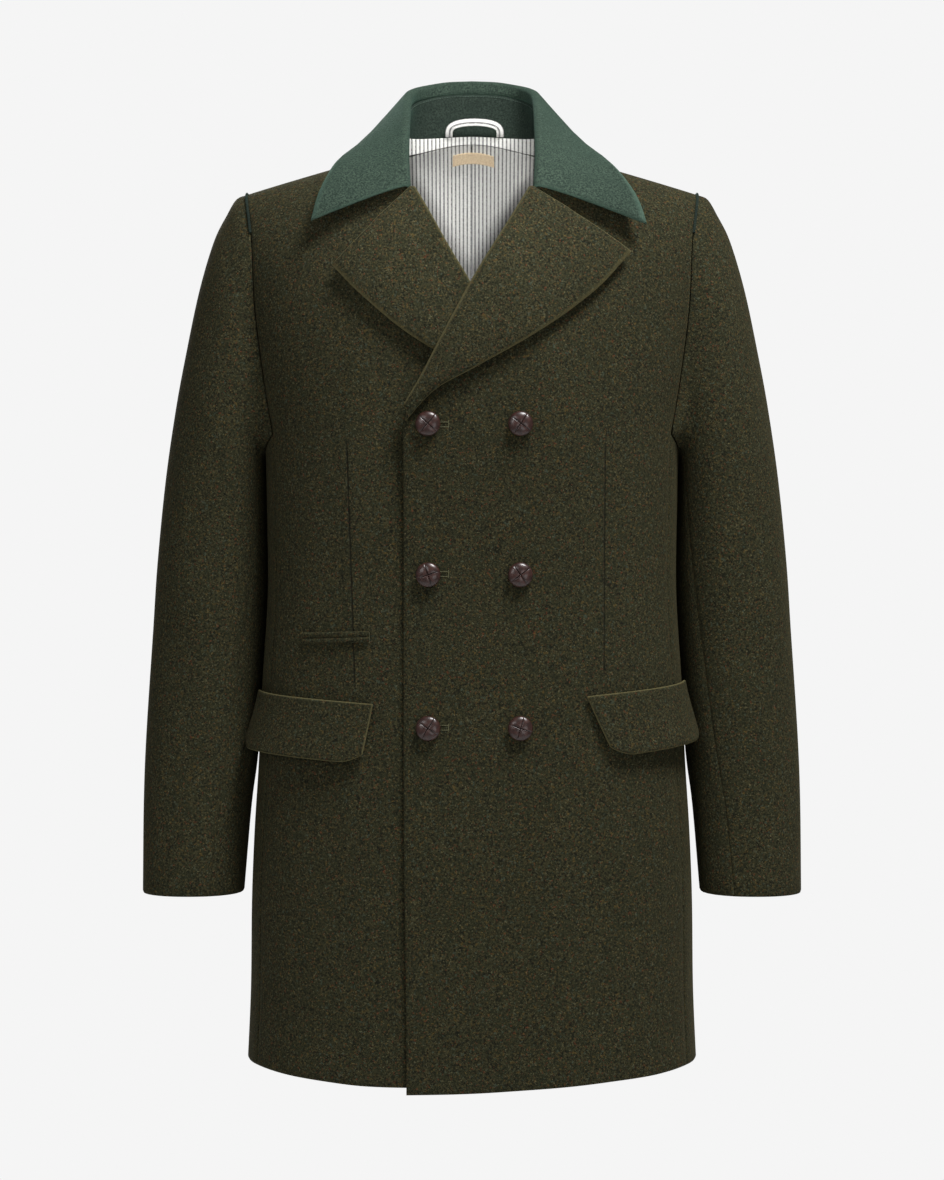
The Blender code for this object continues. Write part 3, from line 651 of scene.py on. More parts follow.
def ring_angle(ring, point):
    half = Vector((ring.outer_x - ring.inner_x, 0.0, ring.outer_z - ring.inner_z)) / 2
    middle = Vector((ring.inner_x, ring.middle_y, ring.inner_z)) + half
    across = (point - middle).dot(half) / half.length_squared
    return math.atan2((ring.middle_y - point.y) / ring.half_depth, across) % (2 * math.pi)


def drifted(angle, first_seam, seam):
    """Angle on a lower ring, where the front seam has moved round from its first place."""
    if angle > math.pi:
        return angle
    if angle < first_seam:
        return angle * seam / first_seam
    return math.pi - (math.pi - angle) * (math.pi - seam) / (math.pi - first_seam)


# Slack of the sleeve: where along it (rows of the ring table) and round it, and how deep
Slack = namedtuple("Slack", "hand row angle along across lean depth")
SLACK = [
    Slack("left", 7.6, 75, 0.75, 20, 22.0, 2.4),
    Slack("left", 8.9, 95, 0.60, 22, -18.0, 2.2),
    Slack("left", 4.6, 62, 0.9, 18, 10.0, 1.8),
    Slack("left", 10.6, 60, 1.0, 20, 6.0, 1.6),
    Slack("left", 8.4, 275, 0.8, 26, 14.0, 2.4),
    Slack("right", 7.2, 82, 0.8, 21, -20.0, 2.2),
    Slack("right", 9.0, 70, 0.7, 24, 16.0, 2.4),
    Slack("right", 4.2, 58, 0.9, 18, -8.0, 1.6),
    Slack("right", 10.8, 88, 0.9, 20, -6.0, 1.6),
    Slack("right", 8.0, 268, 0.8, 26, -14.0, 2.4),
]


def slack_at(hand, row, angle):
    total = 0.0
    for slack in SLACK:
        if slack.hand != hand:
            continue
        along = (row - slack.row) / slack.along
        across = (math.degrees(angle) - slack.angle - slack.lean * (row - slack.row)) / slack.across
        total += slack.depth * math.exp(-along * along - across * across)
    return total


def ring_at(row):
    return Ring(*[table_at(SLEEVE, column, row) for column in Ring._fields])


def sleeve_grids(hand):
    """Outer and inner rings of the whole sleeve, and the columns of its two seams."""
    loop = armhole_loop()
    angles = [ring_angle(SLEEVE[0], point) for point in loop]
    angles[0] = 0.0
    wanted = math.radians(SLEEVE[0].front_seam)
    front = min(range(len(loop)), key=lambda i: abs(angles[i] - wanted))
    back = min(range(len(loop)), key=lambda i: abs(angles[i] - math.radians(BACK_SEAM_ANGLE)))
    stray = [point - ring_point(SLEEVE[0], angle) for point, angle in zip(loop, angles)]
    rows = [share * SLEEVE[-1].row for share in steps(SLEEVE_ROWS)]
    rows = rows[:1] + [SLEEVE_FINE] + rows[1:-1] + [rows[-1] - SLEEVE_FINE, rows[-1]]
    smooth = []
    for row in rows:
        ring = ring_at(row)
        seam = angles[front] - math.radians(SLEEVE[0].front_seam - ring.front_seam)
        follow = max(ring.follow, 0.0)
        smooth.append([ring_point(ring, drifted(angle, angles[front], seam)) + stray[i] * follow
                       for i, angle in enumerate(angles)])
    outer, inner = [], []
    for k, ring in enumerate(smooth):
        outside, inside = [], []
        for i, point in enumerate(ring):
            around = ring[(i + 1) % len(ring)] - ring[i - 1]
            down = smooth[min(k + 1, len(smooth) - 1)][i] - smooth[max(k - 1, 0)][i]
            normal = around.cross(down)
            if k == 0:
                normal.x = 0.0
            normal.normalize()
            point = point - normal * slack_at(hand, rows[k], angles[i])
            outside.append(point)
            inside.append(point - normal * CLOTH)
        outer.append(outside)
        inner.append(inside)
    return outer, inner, front, back


def columns_between(grid, first, last):
    """Columns of a ring grid from seam to seam, with a fine step at both."""
    count = len(grid[0])
    out = []
    for ring in grid:
        row = [ring[i % count].copy() for i in range(first, last + 1)]
        start = row[0] + (row[1] - row[0]).normalized() * RIM_FINE
        end = row[-1] + (row[-2] - row[-1]).normalized() * RIM_FINE
        out.append([row[0], start] + row[1:-1] + [end, row[-1]])
    return out


for hand in SIDES:
    outer, inner, front_seam, back_seam = sleeve_grids(hand)
    whole = back_seam, front_seam + len(outer[0])
    for name, columns, flat, area in (
            ("sleeve_top_", whole, (0.30, 0.68), 0.156),
            ("sleeve_under_", (front_seam, back_seam), (0.14, 0.50), 0.049)):
        walls = [mirrored(columns_between(grid, *columns), hand) for grid in (outer, inner)]
        sleeve = cloth_grid(name + hand, walls[0], walls[1], wool, "wool")


# Lapels. The front facing turned back over the chest, two layers of wool rolled softly
# along the break line and pressed flat towards the point.
LAPEL_HIDDEN = {"left": 0.0, "right": 0.375}
LAPEL_FINE = 0.005
ROLL_RADIUS = 5.0
ROLL_CENTRE = 1.75
LAPEL_ROLL = {"left": 7.5, "right": 5.0}
LAPEL_EDGE_LIFT = 11.5
LAPEL_LOW_LIFT = 6.5
LAPEL_BELLY = 2.0
ROLL_STEPS = 10
LAPEL_COLUMNS = 24
# Painted highlight along the roll of the lapel: how strong it is, and on which columns.
ROLL_HIGHLIGHT = 0.7
ROLL_HIGHLIGHT_COLUMNS = (5, 6, 7)


def lapel_strip(hand, row, thickness):
    """One row across the lapel: round the roll, then flat over the front to the edge."""
    roll_x, roll_z = roll_row(row)
    edge_x = table_at(LAPEL, hand + "_x", row)
    edge_z = table_at(LAPEL, hand + "_z", row)
    ahead_x, ahead_z = roll_row(min(row + 0.1, LAPEL[-1].row))
    behind_x, behind_z = roll_row(max(row - 0.1, LAPEL[0].row))
    base = front_point(hand, roll_x, roll_z, 0.0)
    tangent = front_point(hand, ahead_x, ahead_z, 0.0) - front_point(hand, behind_x, behind_z, 0.0)
    level = level_at(roll_x, roll_z)
    normal = surface_normal(level, angle_at(level, roll_x))
    across = normal.cross(tangent).normalized()
    if across.x < 0:
        across = -across
    full = mix(ROLL_RADIUS, LAPEL_ROLL[hand], math.sin(math.pi * row / LAPEL[-1].row))
    backset = full - ROLL_RADIUS
    base = base + across * backset
    radius = full - thickness
    strip = []
    for share in steps(ROLL_STEPS):
        turn = share * math.pi
        over = ROLL_CENTRE + full - ROLL_RADIUS - radius * math.cos(turn)
        strip.append(base - across * radius * math.sin(turn) + normal * over)
    for u in steps(LAPEL_COLUMNS)[1:]:
        spread = ease(row) * LAPEL_BELLY * math.sin(math.pi * u)
        edge_lift = mix(LAPEL_LOW_LIFT, LAPEL_EDGE_LIFT, ease(row / 2))
        lift = mix(ROLL_CENTRE + 2 * full - ROLL_RADIUS, edge_lift, ease(u)) + spread - thickness
        x, z = mix(roll_x + backset, edge_x, u), mix(roll_z, edge_z, u)
        strip.append(front_point(hand, x, z, lift))
    return strip


def make_lapel(hand):
    shares = [share for share in edged(LAPEL_ROWS, LAPEL_FINE) if share >= LAPEL_HIDDEN[hand]]
    rows = [share * LAPEL[-1].row for share in shares]
    outer = mirrored([lapel_strip(hand, row, 0.0) for row in rows], hand)
    inner = mirrored([lapel_strip(hand, row, DOUBLE_CLOTH) for row in rows], hand)
    lapel = cloth_grid("lapel_" + hand, outer, inner, highlit_edge_wool, "wool")
    # Paints a highlight along the roll by raising the edge value on the roll's columns.
    edge = lapel.data.attributes["edge"].data
    for r in range(len(outer)):
        for c in ROLL_HIGHLIGHT_COLUMNS:
            edge[r * len(outer[0]) + c].value = ROLL_HIGHLIGHT
    return lapel


for hand, area in (("left", 0.0197), ("right", 0.0149)):
    lapel = make_lapel(hand)


# Collar. Thick teal-green felt: a stand sewn to the neck seam and a fall that rolls over
# it and lies on the shoulders, its front ends sewn to the lapels at the gorge.
def felt_material(name, tone, edge=0.0):
    """Felt of one green, tone 1 being the collar's and less being a darker copy in painted shade, paler at
    the edges by a painted highlight.
    """
    material, place, shader = start_material(name, Roughness=0.9, Sheen_Weight=0.15, Sheen_Roughness=0.5)
    shader.inputs["Sheen Tint"].default_value = srgb(120, 170, 150)
    shader.inputs["Specular IOR Level"].default_value = 0.2
    grain = noise(place, 620.0, 3.0)
    cloud = noise(place, 90.0, 2.0)
    hair = noise(place, 1500.0, 1.0)
    deep, pale, dull, bright = (srgb(*(c * tone for c in shade)) for shade in (
        (30, 43, 36), (64, 80, 68), (43, 58, 49), (96, 114, 100)))
    colour = grain.smooth(0.32, 0.70).blend(deep, pale)
    colour = (cloud.smooth(0.40, 0.66) * 0.45).blend(colour, dull)
    colour = (hair.smooth(0.62, 0.74) * 0.5).blend(colour, bright)
    # Painted highlight: the border points, marked by the edge attribute, are paler by the share given as
    # edge.
    rim = place.make("Attribute", {"attribute_name": "edge"}, {}, output=2)
    colour = (rim * edge).blend(colour, srgb(96, 124, 108))
    plug(shader, Base_Color=colour, Normal=bumped(grain * 0.6 + hair * 0.5, 0.5, 0.0009))
    return material


# The collar's felt, its borders paler by a painted highlight.
felt = felt_material("felt", 1.0, edge=0.4)
# The stand in the collar's felt, darkened as painted shade for its place inside the neck.
shaded_stand_felt = felt_material("shaded_stand_felt", 0.72)
Collar = namedtuple("Collar", "turn fold_x fold_y fold_z edge_x edge_level roll_end")
COLLAR = [
    Collar(0.00, 0.0, 66, 121.0, 0, -27.0, 20),
    Collar(0.15, 24.0, 64, 119.5, 45, -22.0, 22),
    Collar(0.30, 43.0, 55, 114.0, 88, -9.0, 32),
    Collar(0.42, 54.5, 36, 106.0, 111, -1.5, 42),
    Collar(0.50, 58.0, 16, 97.0, 120, -0.2, 46),
    Collar(0.65, 58.8, -28, 72.0, 122, -3.0, 50),
    Collar(0.80, 58.8, -66, 41.0, 129, -14.0, 58),
    Collar(0.90, 58.4, -88, 18.0, 137, -28.0, 66),
    Collar(1.00, 56.5, -104, -9.0, 143, -49.0, 74),
]
COLLAR_EDGE_LIFT = 8.0
COLLAR_END_LIFT = 22.0
COLLAR_END_DROP = 13.0
COLLAR_LEFT_REACH = 12.0
FALL_TURNED_IN = 9.0
TURNED_IN_ROWS = 4
COLLAR_BELLY = 0.45
COLLAR_END_BELLY = 0.18
END_BELLY_FROM = 0.7
END_LIFT_FROM = 0.45
END_LIFT_OVER = 0.5
TIP_FROM = 0.6
TURNED_IN_FADE = 0.35
EDGE_EASE = 0.11
COLLAR_STEPS = 55
COLLAR_FINE = 0.006
STAND_END = 0.91
FALL_COLUMNS = 20
STAND_ROWS = 10
NECK_BACK_TURN = 7 / 11


def fold_point(turn):
    return Vector([table_at(COLLAR, column, turn) for column in ("fold_x", "fold_y", "fold_z")])


def fold_frame(turn):
    """Fold point, outward and upward directions of the collar's section."""
    tangent = fold_point(min(turn + 0.02, 1.0)) - fold_point(max(turn - 0.02, 0.0))
    if turn == 0.0:
        tangent = Vector((1.0, 0.0, 0.0))
    out = Vector((-tangent.y, tangent.x, 0.0)).normalized()
    return fold_point(turn), out, tangent.cross(out).normalized()


def collar_edge(turn, reach):
    """Outer edge of the fall, whose front ends stand off the shoulders and reach out to a tip."""
    share = ease((turn - END_LIFT_FROM) / END_LIFT_OVER)
    level = table_at(COLLAR, "edge_level", turn) - COLLAR_END_DROP * share
    x = table_at(COLLAR, "edge_x", turn) + reach * ease((turn - TIP_FROM) / (1.0 - TIP_FROM))
    lift = mix(COLLAR_EDGE_LIFT, COLLAR_END_LIFT, share)
    return body_point(level, angle_at(level, x, back=turn < 0.5), lift)


def turned_in(turn):
    """How far, and which way, the fall reaches down inside the neck to the stand's top seam."""
    fold, out, _ = fold_frame(turn)
    foot = neck_seam(turn) - out * (STAND_CLOTH + SEAM_GAP)
    return (foot - fold).normalized() * FALL_TURNED_IN * (1.0 - ease((turn - TIP_FROM) / TURNED_IN_FADE))


def fall_strip(turn, thickness, reach):
    """Section of the collar's fall: over the roll, then down to its outer edge."""
    fold, out, up = fold_frame(turn)
    centre = fold + out * ROLL_RADIUS
    end = math.radians(table_at(COLLAR, "roll_end", turn))
    strip = []
    for share in steps(TURNED_IN_ROWS)[:0:-1]:
        strip.append(fold + turned_in(turn) * share + out * thickness)
    for share in steps(ROLL_STEPS):
        bend = mix(math.pi, end, share)
        radial = out * math.cos(bend) + up * math.sin(bend)
        strip.append(centre + radial * (ROLL_RADIUS - thickness))
    start = centre + (out * math.cos(end) + up * math.sin(end)) * ROLL_RADIUS
    leave = out * math.sin(end) - up * math.cos(end)
    reach_round = EDGE_EASE * math.sin(math.pi * turn)
    near = [collar_edge(turn + reach_round * step, reach) for step in (-1.0, -0.5, 0.0, 0.5, 1.0)]
    edge = sum(near, Vector()) / len(near)
    belly = mix(COLLAR_BELLY, COLLAR_END_BELLY, ease((turn - END_BELLY_FROM) / (1.0 - END_BELLY_FROM)))
    middle = start + leave * (edge - start).length * belly
    for u in steps(FALL_COLUMNS)[1:]:
        point = start * (1 - u) ** 2 + middle * 2 * u * (1 - u) + edge * u * u
        along = (middle - start) * (1 - u) + (edge - middle) * u
        side = (up * along.dot(out) - out * along.dot(up)).normalized()
        strip.append(point - side * thickness)
    return strip


def neck_seam(turn):
    if turn < NECK_BACK_TURN:
        level, x = neck_back(turn / NECK_BACK_TURN)
        return body_point(level, angle_at(level, x, back=True))
    level, x = neck_front((1.0 - turn) / (1.0 - NECK_BACK_TURN))
    return body_point(level, angle_at(level, x))


def stand_strip(turn, thickness):
    """Section of the stand, from the neck seam up to just under the fold."""
    fold, out, up = fold_frame(turn)
    foot = neck_seam(turn) - out * (STAND_CLOTH + SEAM_GAP) + up * SEAM_GAP
    top = fold + turned_in(turn) - up * SEAM_GAP
    return [foot.lerp(top, share) + out * thickness for share in steps(STAND_ROWS)]


def both_sides(right, left):
    """Strips from the centre back to each front end, the right ones mirrored, run end to end."""
    return [[Vector((-p.x, p.y, p.z)) for p in strip] for strip in right[:0:-1]] + left


turns = steps(COLLAR_STEPS)[:-1] + [1.0 - COLLAR_FINE, 1.0]
outer, inner = (both_sides(*[[fall_strip(turn, thickness, reach) for turn in turns]
                             for reach in (0.0, COLLAR_LEFT_REACH)]) for thickness in (0.0, DOUBLE_CLOTH))
collar_fall = cloth_grid("collar_fall", outer, inner, felt, "felt")

turns = [turn for turn in steps(COLLAR_STEPS) if turn <= STAND_END]
outer, inner = (both_sides(*[[stand_strip(turn, thickness) for turn in turns]] * 2)
                for thickness in (STAND_CLOTH, 0.0))
collar_stand = cloth_grid("collar_stand", outer, inner, shaded_stand_felt, "felt")


# Hip flaps. Two layers of the wool, sewn in along a slanted top edge and hanging free
# below, where the rounded corners stand a little off the coat.
Flap = namedtuple("Flap", "side top_in top_in_z top_out top_out_z low_in low_in_z low_out low_out_z")
FLAPS = [
    Flap("right", 90.6, -487, 199.5, -477, 101.0, -542, 203.0, -531),
    Flap("left", 105.0, -480, 199.5, -468, 129.5, -536, 203.0, -523),
]
FLAP_LIFT = 1.8
FLAP_FLARE_IN = 4.0
FLAP_FLARE_OUT = 12.0
FLAP_CORNER = 0.16
FLAP_COLUMNS = 40
FLAP_ROWS = 18
FLAP_FINE = 0.011


def make_flap(flap):
    def place(u, v):
        corner = 1.0 - FLAP_CORNER * max(0.0, 1.0 - min(u, 1.0 - u) / FLAP_CORNER) ** 2
        v *= corner
        top_level, low_level = mix(flap.top_in_z, flap.top_out_z, u), mix(flap.low_in_z, flap.low_out_z, u)
        top = mix(angle_at(flap.top_in_z, flap.top_in), angle_at(flap.top_out_z, flap.top_out), u)
        low = mix(angle_at(flap.low_in_z, flap.low_in), angle_at(flap.low_out_z, flap.low_out), u)
        flare = mix(FLAP_FLARE_IN, FLAP_FLARE_OUT, u) * v ** 1.3
        return mix(top_level, low_level, v), mix(top, low, v), FLAP_LIFT + FLAP_CLOTH + flare

    places = [[place(u, v) for u in edged(FLAP_COLUMNS, FLAP_FINE)] for v in edged(FLAP_ROWS, 2 * FLAP_FINE)]
    outer, inner = wall_grids(places, flap.side, FLAP_CLOTH)
    return cloth_grid("flap_" + flap.side, outer, inner, highlit_edge_wool, "wool")


for row, area in zip(FLAPS, (0.0083, 0.0075)):
    flap = make_flap(row)
    "front_" + row.side


# Ticket pocket. A slit in the right front above the flap, finished with two narrow
# rolled lips of the same wool that meet edge to edge.
TICKET_IN = 94.5
TICKET_OUT = 157.0
TICKET_Z = -427.0
TICKET_RISE = 2.0
TICKET_LIP = 5.2
TICKET_CLOTH = 2.0
TICKET_LIFT = 0.9
TICKET_COLUMNS = 24
TICKET_ROWS = 8
TICKET_FINE = 0.012


def make_ticket_lip(name, low):
    places = []
    for v in steps(TICKET_ROWS):
        row = []
        for u in edged(TICKET_COLUMNS, TICKET_FINE):
            level = TICKET_Z + low + TICKET_LIP * v + TICKET_RISE * (1.0 - u)
            angle = angle_at(level, mix(TICKET_IN, TICKET_OUT, u))
            row.append((level, angle, TICKET_LIFT + TICKET_CLOTH * math.sin(math.pi * mix(0.2, 0.8, v))))
        places.append(row)
    outer, inner = wall_grids(places, "right", TICKET_CLOTH / 2)
    return cloth_grid(name, outer, inner, wool, "wool")


for name, low in (("ticket_lip_lower", -TICKET_LIP - SEAM_GAP / 2), ("ticket_lip_upper", SEAM_GAP / 2)):
    lip = make_ticket_lip(name, low)


# Back lining. Striped cotton in two halves with a seam down the centre, white with
# fine pairs of dark threads, hung from the neck seam inside the wool.
def stripe_material():
    material, place, shader = start_material("striped_cotton", Roughness=0.8)
    shader.inputs["Specular IOR Level"].default_value = 0.25
    across = place.make("Attribute", {"attribute_name": "stripe"}, {}, output=2)
    phase = across.maths("FRACT", across)
    band = phase.smooth(0.56, 0.64) * (1.0 - phase.smooth(0.92, 1.0))
    split = phase.smooth(0.66, 0.70) * (1.0 - phase.smooth(0.74, 0.78))
    broken = noise(place, 700.0, 1.0).smooth(0.42, 0.60)
    weave = noise(place, 1100.0, 1.0)
    colour = (band * (1.0 - split * broken)).blend(srgb(250, 249, 244), srgb(112, 112, 112))
    colour = (weave.smooth(0.35, 0.75) * 0.25).blend(colour, srgb(150, 148, 140))
    plug(shader, Base_Color=colour, Normal=bumped(weave, 0.25, 0.0004))
    return material


def mark_stripes(piece, measure):
    """Writes how many stripes across each point lies."""
    layer = piece.data.attributes.new("stripe", "FLOAT", "POINT")
    for vert in piece.data.vertices:
        layer.data[vert.index].value = measure(vert.co / MM) / STRIPE


striped_cotton = stripe_material()
LINING_GAP = 2.4
LINING_SEAM_GAP = 1.0
LINING_HEM = -798.0
LINING_TOP_DROP = 2.0
LINING_COLUMNS = 30
LINING_FINE = 0.004
LINING_ROWS = 60
LINING_UPPER_ROWS = BACK_UPPER_ROWS + 9
LINING_TOP_TURN = 0.62
LINING_TOP_COLUMNS = 30
LINING_TOP_ROWS = 6
LINING_TOP_FINE = 0.03
LINING_TOP_BACK = 1.0
LINING_TOP_SIDE = 9.0
LINING_TOP_BELOW = 6.5
LINING_TOP_LEAN = -0.6
LINING_TOP_PROUD = 0.5
LINING_TOP_CLOTH = 0.4
STRIPE = 3.9


def make_lining(hand):
    lift = -(CLOTH + LINING_GAP)
    places = []
    levels = [mix(LINING_HEM, ARMPIT, share) for share in steps(LINING_ROWS)]
    upper = [(level - LINING_TOP_DROP, x) for level, x in back_upper_rows()[:LINING_UPPER_ROWS]]
    for level, x in [(level, 0.0) for level in levels] + upper:
        first = nudge(min(level, -1.0), angle_at(level, x, back=True), -LINING_SEAM_GAP / 2)
        last = side_seam(level, back=True)
        if level > ARMPIT:
            last = angle_at(level, table_at(ARMHOLE, "back_x", level), back=True)
        row = [mix(first, last, u) for u in edged(LINING_COLUMNS, LINING_FINE)]
        places.append([(level, angle, lift + sink(hand, "back", level, angle)) for angle in row])
    outer, inner = wall_grids(places, hand, LINING_CLOTH)
    return cloth_grid("lining_" + hand, outer, inner, striped_cotton, "striped_cotton")


def lining_top(hand):
    """The lining's upper edge, turned up on the foot of the collar stand."""
    outer, inner = [], []
    for turn in [share * LINING_TOP_TURN for share in steps(LINING_TOP_COLUMNS)]:
        _, out, up = fold_frame(turn)
        foot = neck_seam(turn) - out * (STAND_CLOTH + SEAM_GAP)
        high = mix(LINING_TOP_BACK, LINING_TOP_SIDE, (foot.x / GORGE_X) ** 2)
        row = []
        for share in edged(LINING_TOP_ROWS, LINING_TOP_FINE):
            lean = out * mix(LINING_TOP_LEAN, LINING_TOP_PROUD, share)
            row.append(foot + up * mix(-LINING_TOP_BELOW, high, share) - lean)
        outer.append([point + out * LINING_TOP_CLOTH for point in row])
        inner.append(row)
    return mirrored(outer, hand), mirrored(inner, hand)


def join_mesh(piece, other):
    """Adds another piece's mesh to this one."""
    bm = bmesh.new()
    for source in (piece, other):
        bm.from_mesh(source.data)
    bm.to_mesh(piece.data)
    bm.free()
    bpy.data.objects.remove(other)


for hand in SIDES:
    lining = make_lining(hand)
    join_mesh(lining, cloth_grid("lining_top_" + hand, *lining_top(hand), striped_cotton, "striped_cotton"))
    mark_stripes(lining, lambda spot: spot.x)


# Label. A small bare woven tape sewn flat on the lining under the neck seam.
def tape_material():
    material, place, shader = start_material("tape", Roughness=0.75)
    shader.inputs["Specular IOR Level"].default_value = 0.25
    weave = noise(place, 900.0, 1.0)
    colour = weave.smooth(0.30, 0.72).blend(srgb(228, 202, 164), srgb(250, 228, 194))
    plug(shader, Base_Color=colour, Normal=bumped(weave, 0.3, 0.0004))
    return material


LABEL_WIDE = 44.0
LABEL_TALL = 11.0
LABEL_X = 1.5
LABEL_LEVEL = -22.0
LABEL_CLOTH = 0.8
LABEL_GAP = 1.6
LABEL_ROWS = 8
LABEL_COLUMNS = 20
LABEL_FINE = 0.02


def make_label():
    lift = -(CLOTH + LINING_GAP + LINING_CLOTH + LABEL_GAP)
    places = []
    for v in edged(LABEL_ROWS, LABEL_FINE):
        tall = mix(-0.5, 0.5, v) * LABEL_TALL
        level = LABEL_LEVEL + tall * -ARMPIT / (shoulder_height(0.0) - ARMPIT)
        places.append([(level, angle_at(level, LABEL_X + mix(-0.5, 0.5, u) * LABEL_WIDE, back=True), lift)
                       for u in edged(LABEL_COLUMNS, LABEL_FINE)])
    outer, inner = wall_grids(places, "left", LABEL_CLOTH)
    return cloth_grid("label", outer, inner, tape, "tape")


tape = tape_material()
label = make_label()


# Hanger loop. A folded strap of the lining's striped cotton, both ends caught in the
# neck seam, standing up in a flat arch.
LOOP_MIDDLE_X = 2.5
LOOP_HALF = 25.5
LOOP_FOOT_Z = 67.0
LOOP_RISE = 14.0
LOOP_STRAP = 7.4
LOOP_CLOTH = 1.8
LOOP_FOOT_Y = 52.6
LOOP_BOW = 5.0
LOOP_SQUARE = 0.48
LOOP_STEPS = 48
LOOP_ACROSS = 10
LOOP_FINE = 0.06


def loop_centre(share):
    turn = math.pi * share
    rise = math.sin(turn) ** LOOP_SQUARE if 0 < share < 1 else 0.0
    x = LOOP_MIDDLE_X - LOOP_HALF * math.cos(turn)
    return Vector((x, LOOP_FOOT_Y - LOOP_BOW * rise, LOOP_FOOT_Z + LOOP_RISE * rise))


outer, inner = [], []
for share in steps(LOOP_STEPS):
    run = loop_centre(min(share + 0.02, 1.0)) - loop_centre(max(share - 0.02, 0.0))
    across = Vector((-run.z, 0.0, run.x)).normalized() * LOOP_STRAP / 2
    row = [loop_centre(share) + across * mix(-1.0, 1.0, v) for v in edged(LOOP_ACROSS, LOOP_FINE)]
    outer.append(row)
    inner.append([point + Vector((0.0, LOOP_CLOTH, 0.0)) for point in row])
hanger_loop = cloth_grid("hanger_loop", outer, inner, striped_cotton, "striped_cotton")
layer = hanger_loop.data.attributes.new("stripe", "FLOAT", "POINT")
strap_points = LOOP_ACROSS + 3
for index, spot in enumerate(layer.data):
    spot.value = (index % strap_points) / (strap_points - 1) * LOOP_STRAP / STRIPE


# Buttons. Six domes of dark brown leather straps woven over one another and polished,
# each sewn on turned its own way, so the straps cross at different slants.
BUTTON_RADIUS = 11.5
BUTTON_HALF_HEIGHT = 4.3
BUTTON_COLUMNS = [-40.0, 44.0]
BUTTON_ROWS = [-231.0, -368.0, -509.0]
BUTTON_GAP = 0.6
BUTTON_TURNS = [42.0, 48.0, 12.0, 30.0, 50.0, 65.0]
BUTTON_RINGS = 36
BUTTON_SPOKES = 128
GROOVE_WIDE = 0.34
GROOVE_DEEP = 0.8
STRAP_SIDE_STEP = 1.3
STRAP_BULGE = 0.45
STRAP_ROUND = 1.4


def leather_material():
    material, place, shader = start_material("leather", Roughness=0.3, Coat_Weight=0.35, Coat_Roughness=0.2)
    pores = noise(place, 700.0, 1.0)
    cloud = noise(place, 260.0, 2.0)
    colour = cloud.smooth(0.32, 0.70).blend(srgb(44, 24, 20), srgb(66, 38, 32))
    # Painted shade in the grooves between the woven straps: the groove attribute darkens the leather to near
    # black.
    groove = place.make("Attribute", {"attribute_name": "groove"}, {}, output=2)
    colour = (groove.smooth(0.15, 0.7) * 0.85).blend(colour, srgb(12, 6, 5))
    plug(shader, Base_Color=colour, Roughness=pores * 0.1 + 0.3, Normal=bumped(pores, 0.05, 0.0002))
    return material


def button_height(x, y):
    """Rise of the woven dome over its base, in millimetres, and how deep it lies in a groove."""
    far = min(math.hypot(x, y) / BUTTON_RADIUS, 1.0)
    dome = BUTTON_HALF_HEIGHT * (1.0 - far ** 2.3) ** 0.45
    groove = 0.0
    for quarter in range(4):
        turn = quarter * math.pi / 2
        along = x * math.cos(turn) + y * math.sin(turn)
        aside = -x * math.sin(turn) + y * math.cos(turn) - STRAP_SIDE_STEP * min(along / BUTTON_RADIUS, 1.0)
        if along > -GROOVE_WIDE:
            groove = max(groove, math.exp(-(aside / GROOVE_WIDE) ** 2))
    near = min(abs(x), abs(y))
    bulge = STRAP_BULGE * (1.0 - math.exp(-near / STRAP_ROUND)) * (1.0 - far ** 4)
    groove *= 1.0 - far ** 6
    return dome + bulge - GROOVE_DEEP * groove, groove


def make_button(number, x, level):
    angle = angle_at(level, x)
    normal = surface_normal(level, angle)
    lift = overlap_lift("left", level, x) + BUTTON_GAP + BUTTON_HALF_HEIGHT
    seat = Matrix.Translation(body_point(level, angle, lift))
    facing = normal.to_track_quat("Z", "Y").to_matrix().to_4x4()
    twist = Matrix.Rotation(math.radians(BUTTON_TURNS[number - 1]), 4, "Z")
    bm = bmesh.new()
    layer = bm.verts.layers.float.new("groove")
    rings = []
    for side in (1.0, -1.0):
        for share in steps(BUTTON_RINGS)[1:] if side > 0 else steps(BUTTON_RINGS)[-2:0:-3]:
            ring = []
            for k in range(BUTTON_SPOKES):
                turn = 2 * math.pi * k / BUTTON_SPOKES
                px, py = (BUTTON_RADIUS * share * f(turn) for f in (math.cos, math.sin))
                rise, groove = -BUTTON_HALF_HEIGHT * (1 - share ** 3) ** 0.5, 0.0
                if side > 0:
                    rise, groove = button_height(px, py)
                ring.append(bm.verts.new(seat @ facing @ twist @ Vector((px, py, rise)) * MM))
                ring[-1][layer] = groove
            rings.append(ring)
    for ring, after in zip(rings, rings[1:]):
        for k in range(BUTTON_SPOKES):
            n = (k + 1) % BUTTON_SPOKES
            bm.faces.new((ring[k], after[k], after[n], ring[n]))
    for ring in (rings[0], rings[-1]):
        bm.faces.new(ring)
    bmesh.ops.recalc_face_normals(bm, faces=bm.faces)
    name = "button_%d" % number
    mesh = bpy.data.meshes.new(name)
    bm.to_mesh(mesh)
    bm.free()
    return finish_piece(name, mesh, leather)


leather = leather_material()
places = [(x, level) for level in BUTTON_ROWS for x in BUTTON_COLUMNS]
for number, (x, level) in enumerate(places, 1):
    make_button(number, x, level)


# Piping. A thin felt cord in the collar's green, caught in the armhole seam over the
# top of each sleeve head.
PIPING_RADIUS = 2.0
PIPING_FRONT_LEVEL = -46.0
PIPING_BACK_LEVEL = -46.0
PIPING_GAP = 0.7


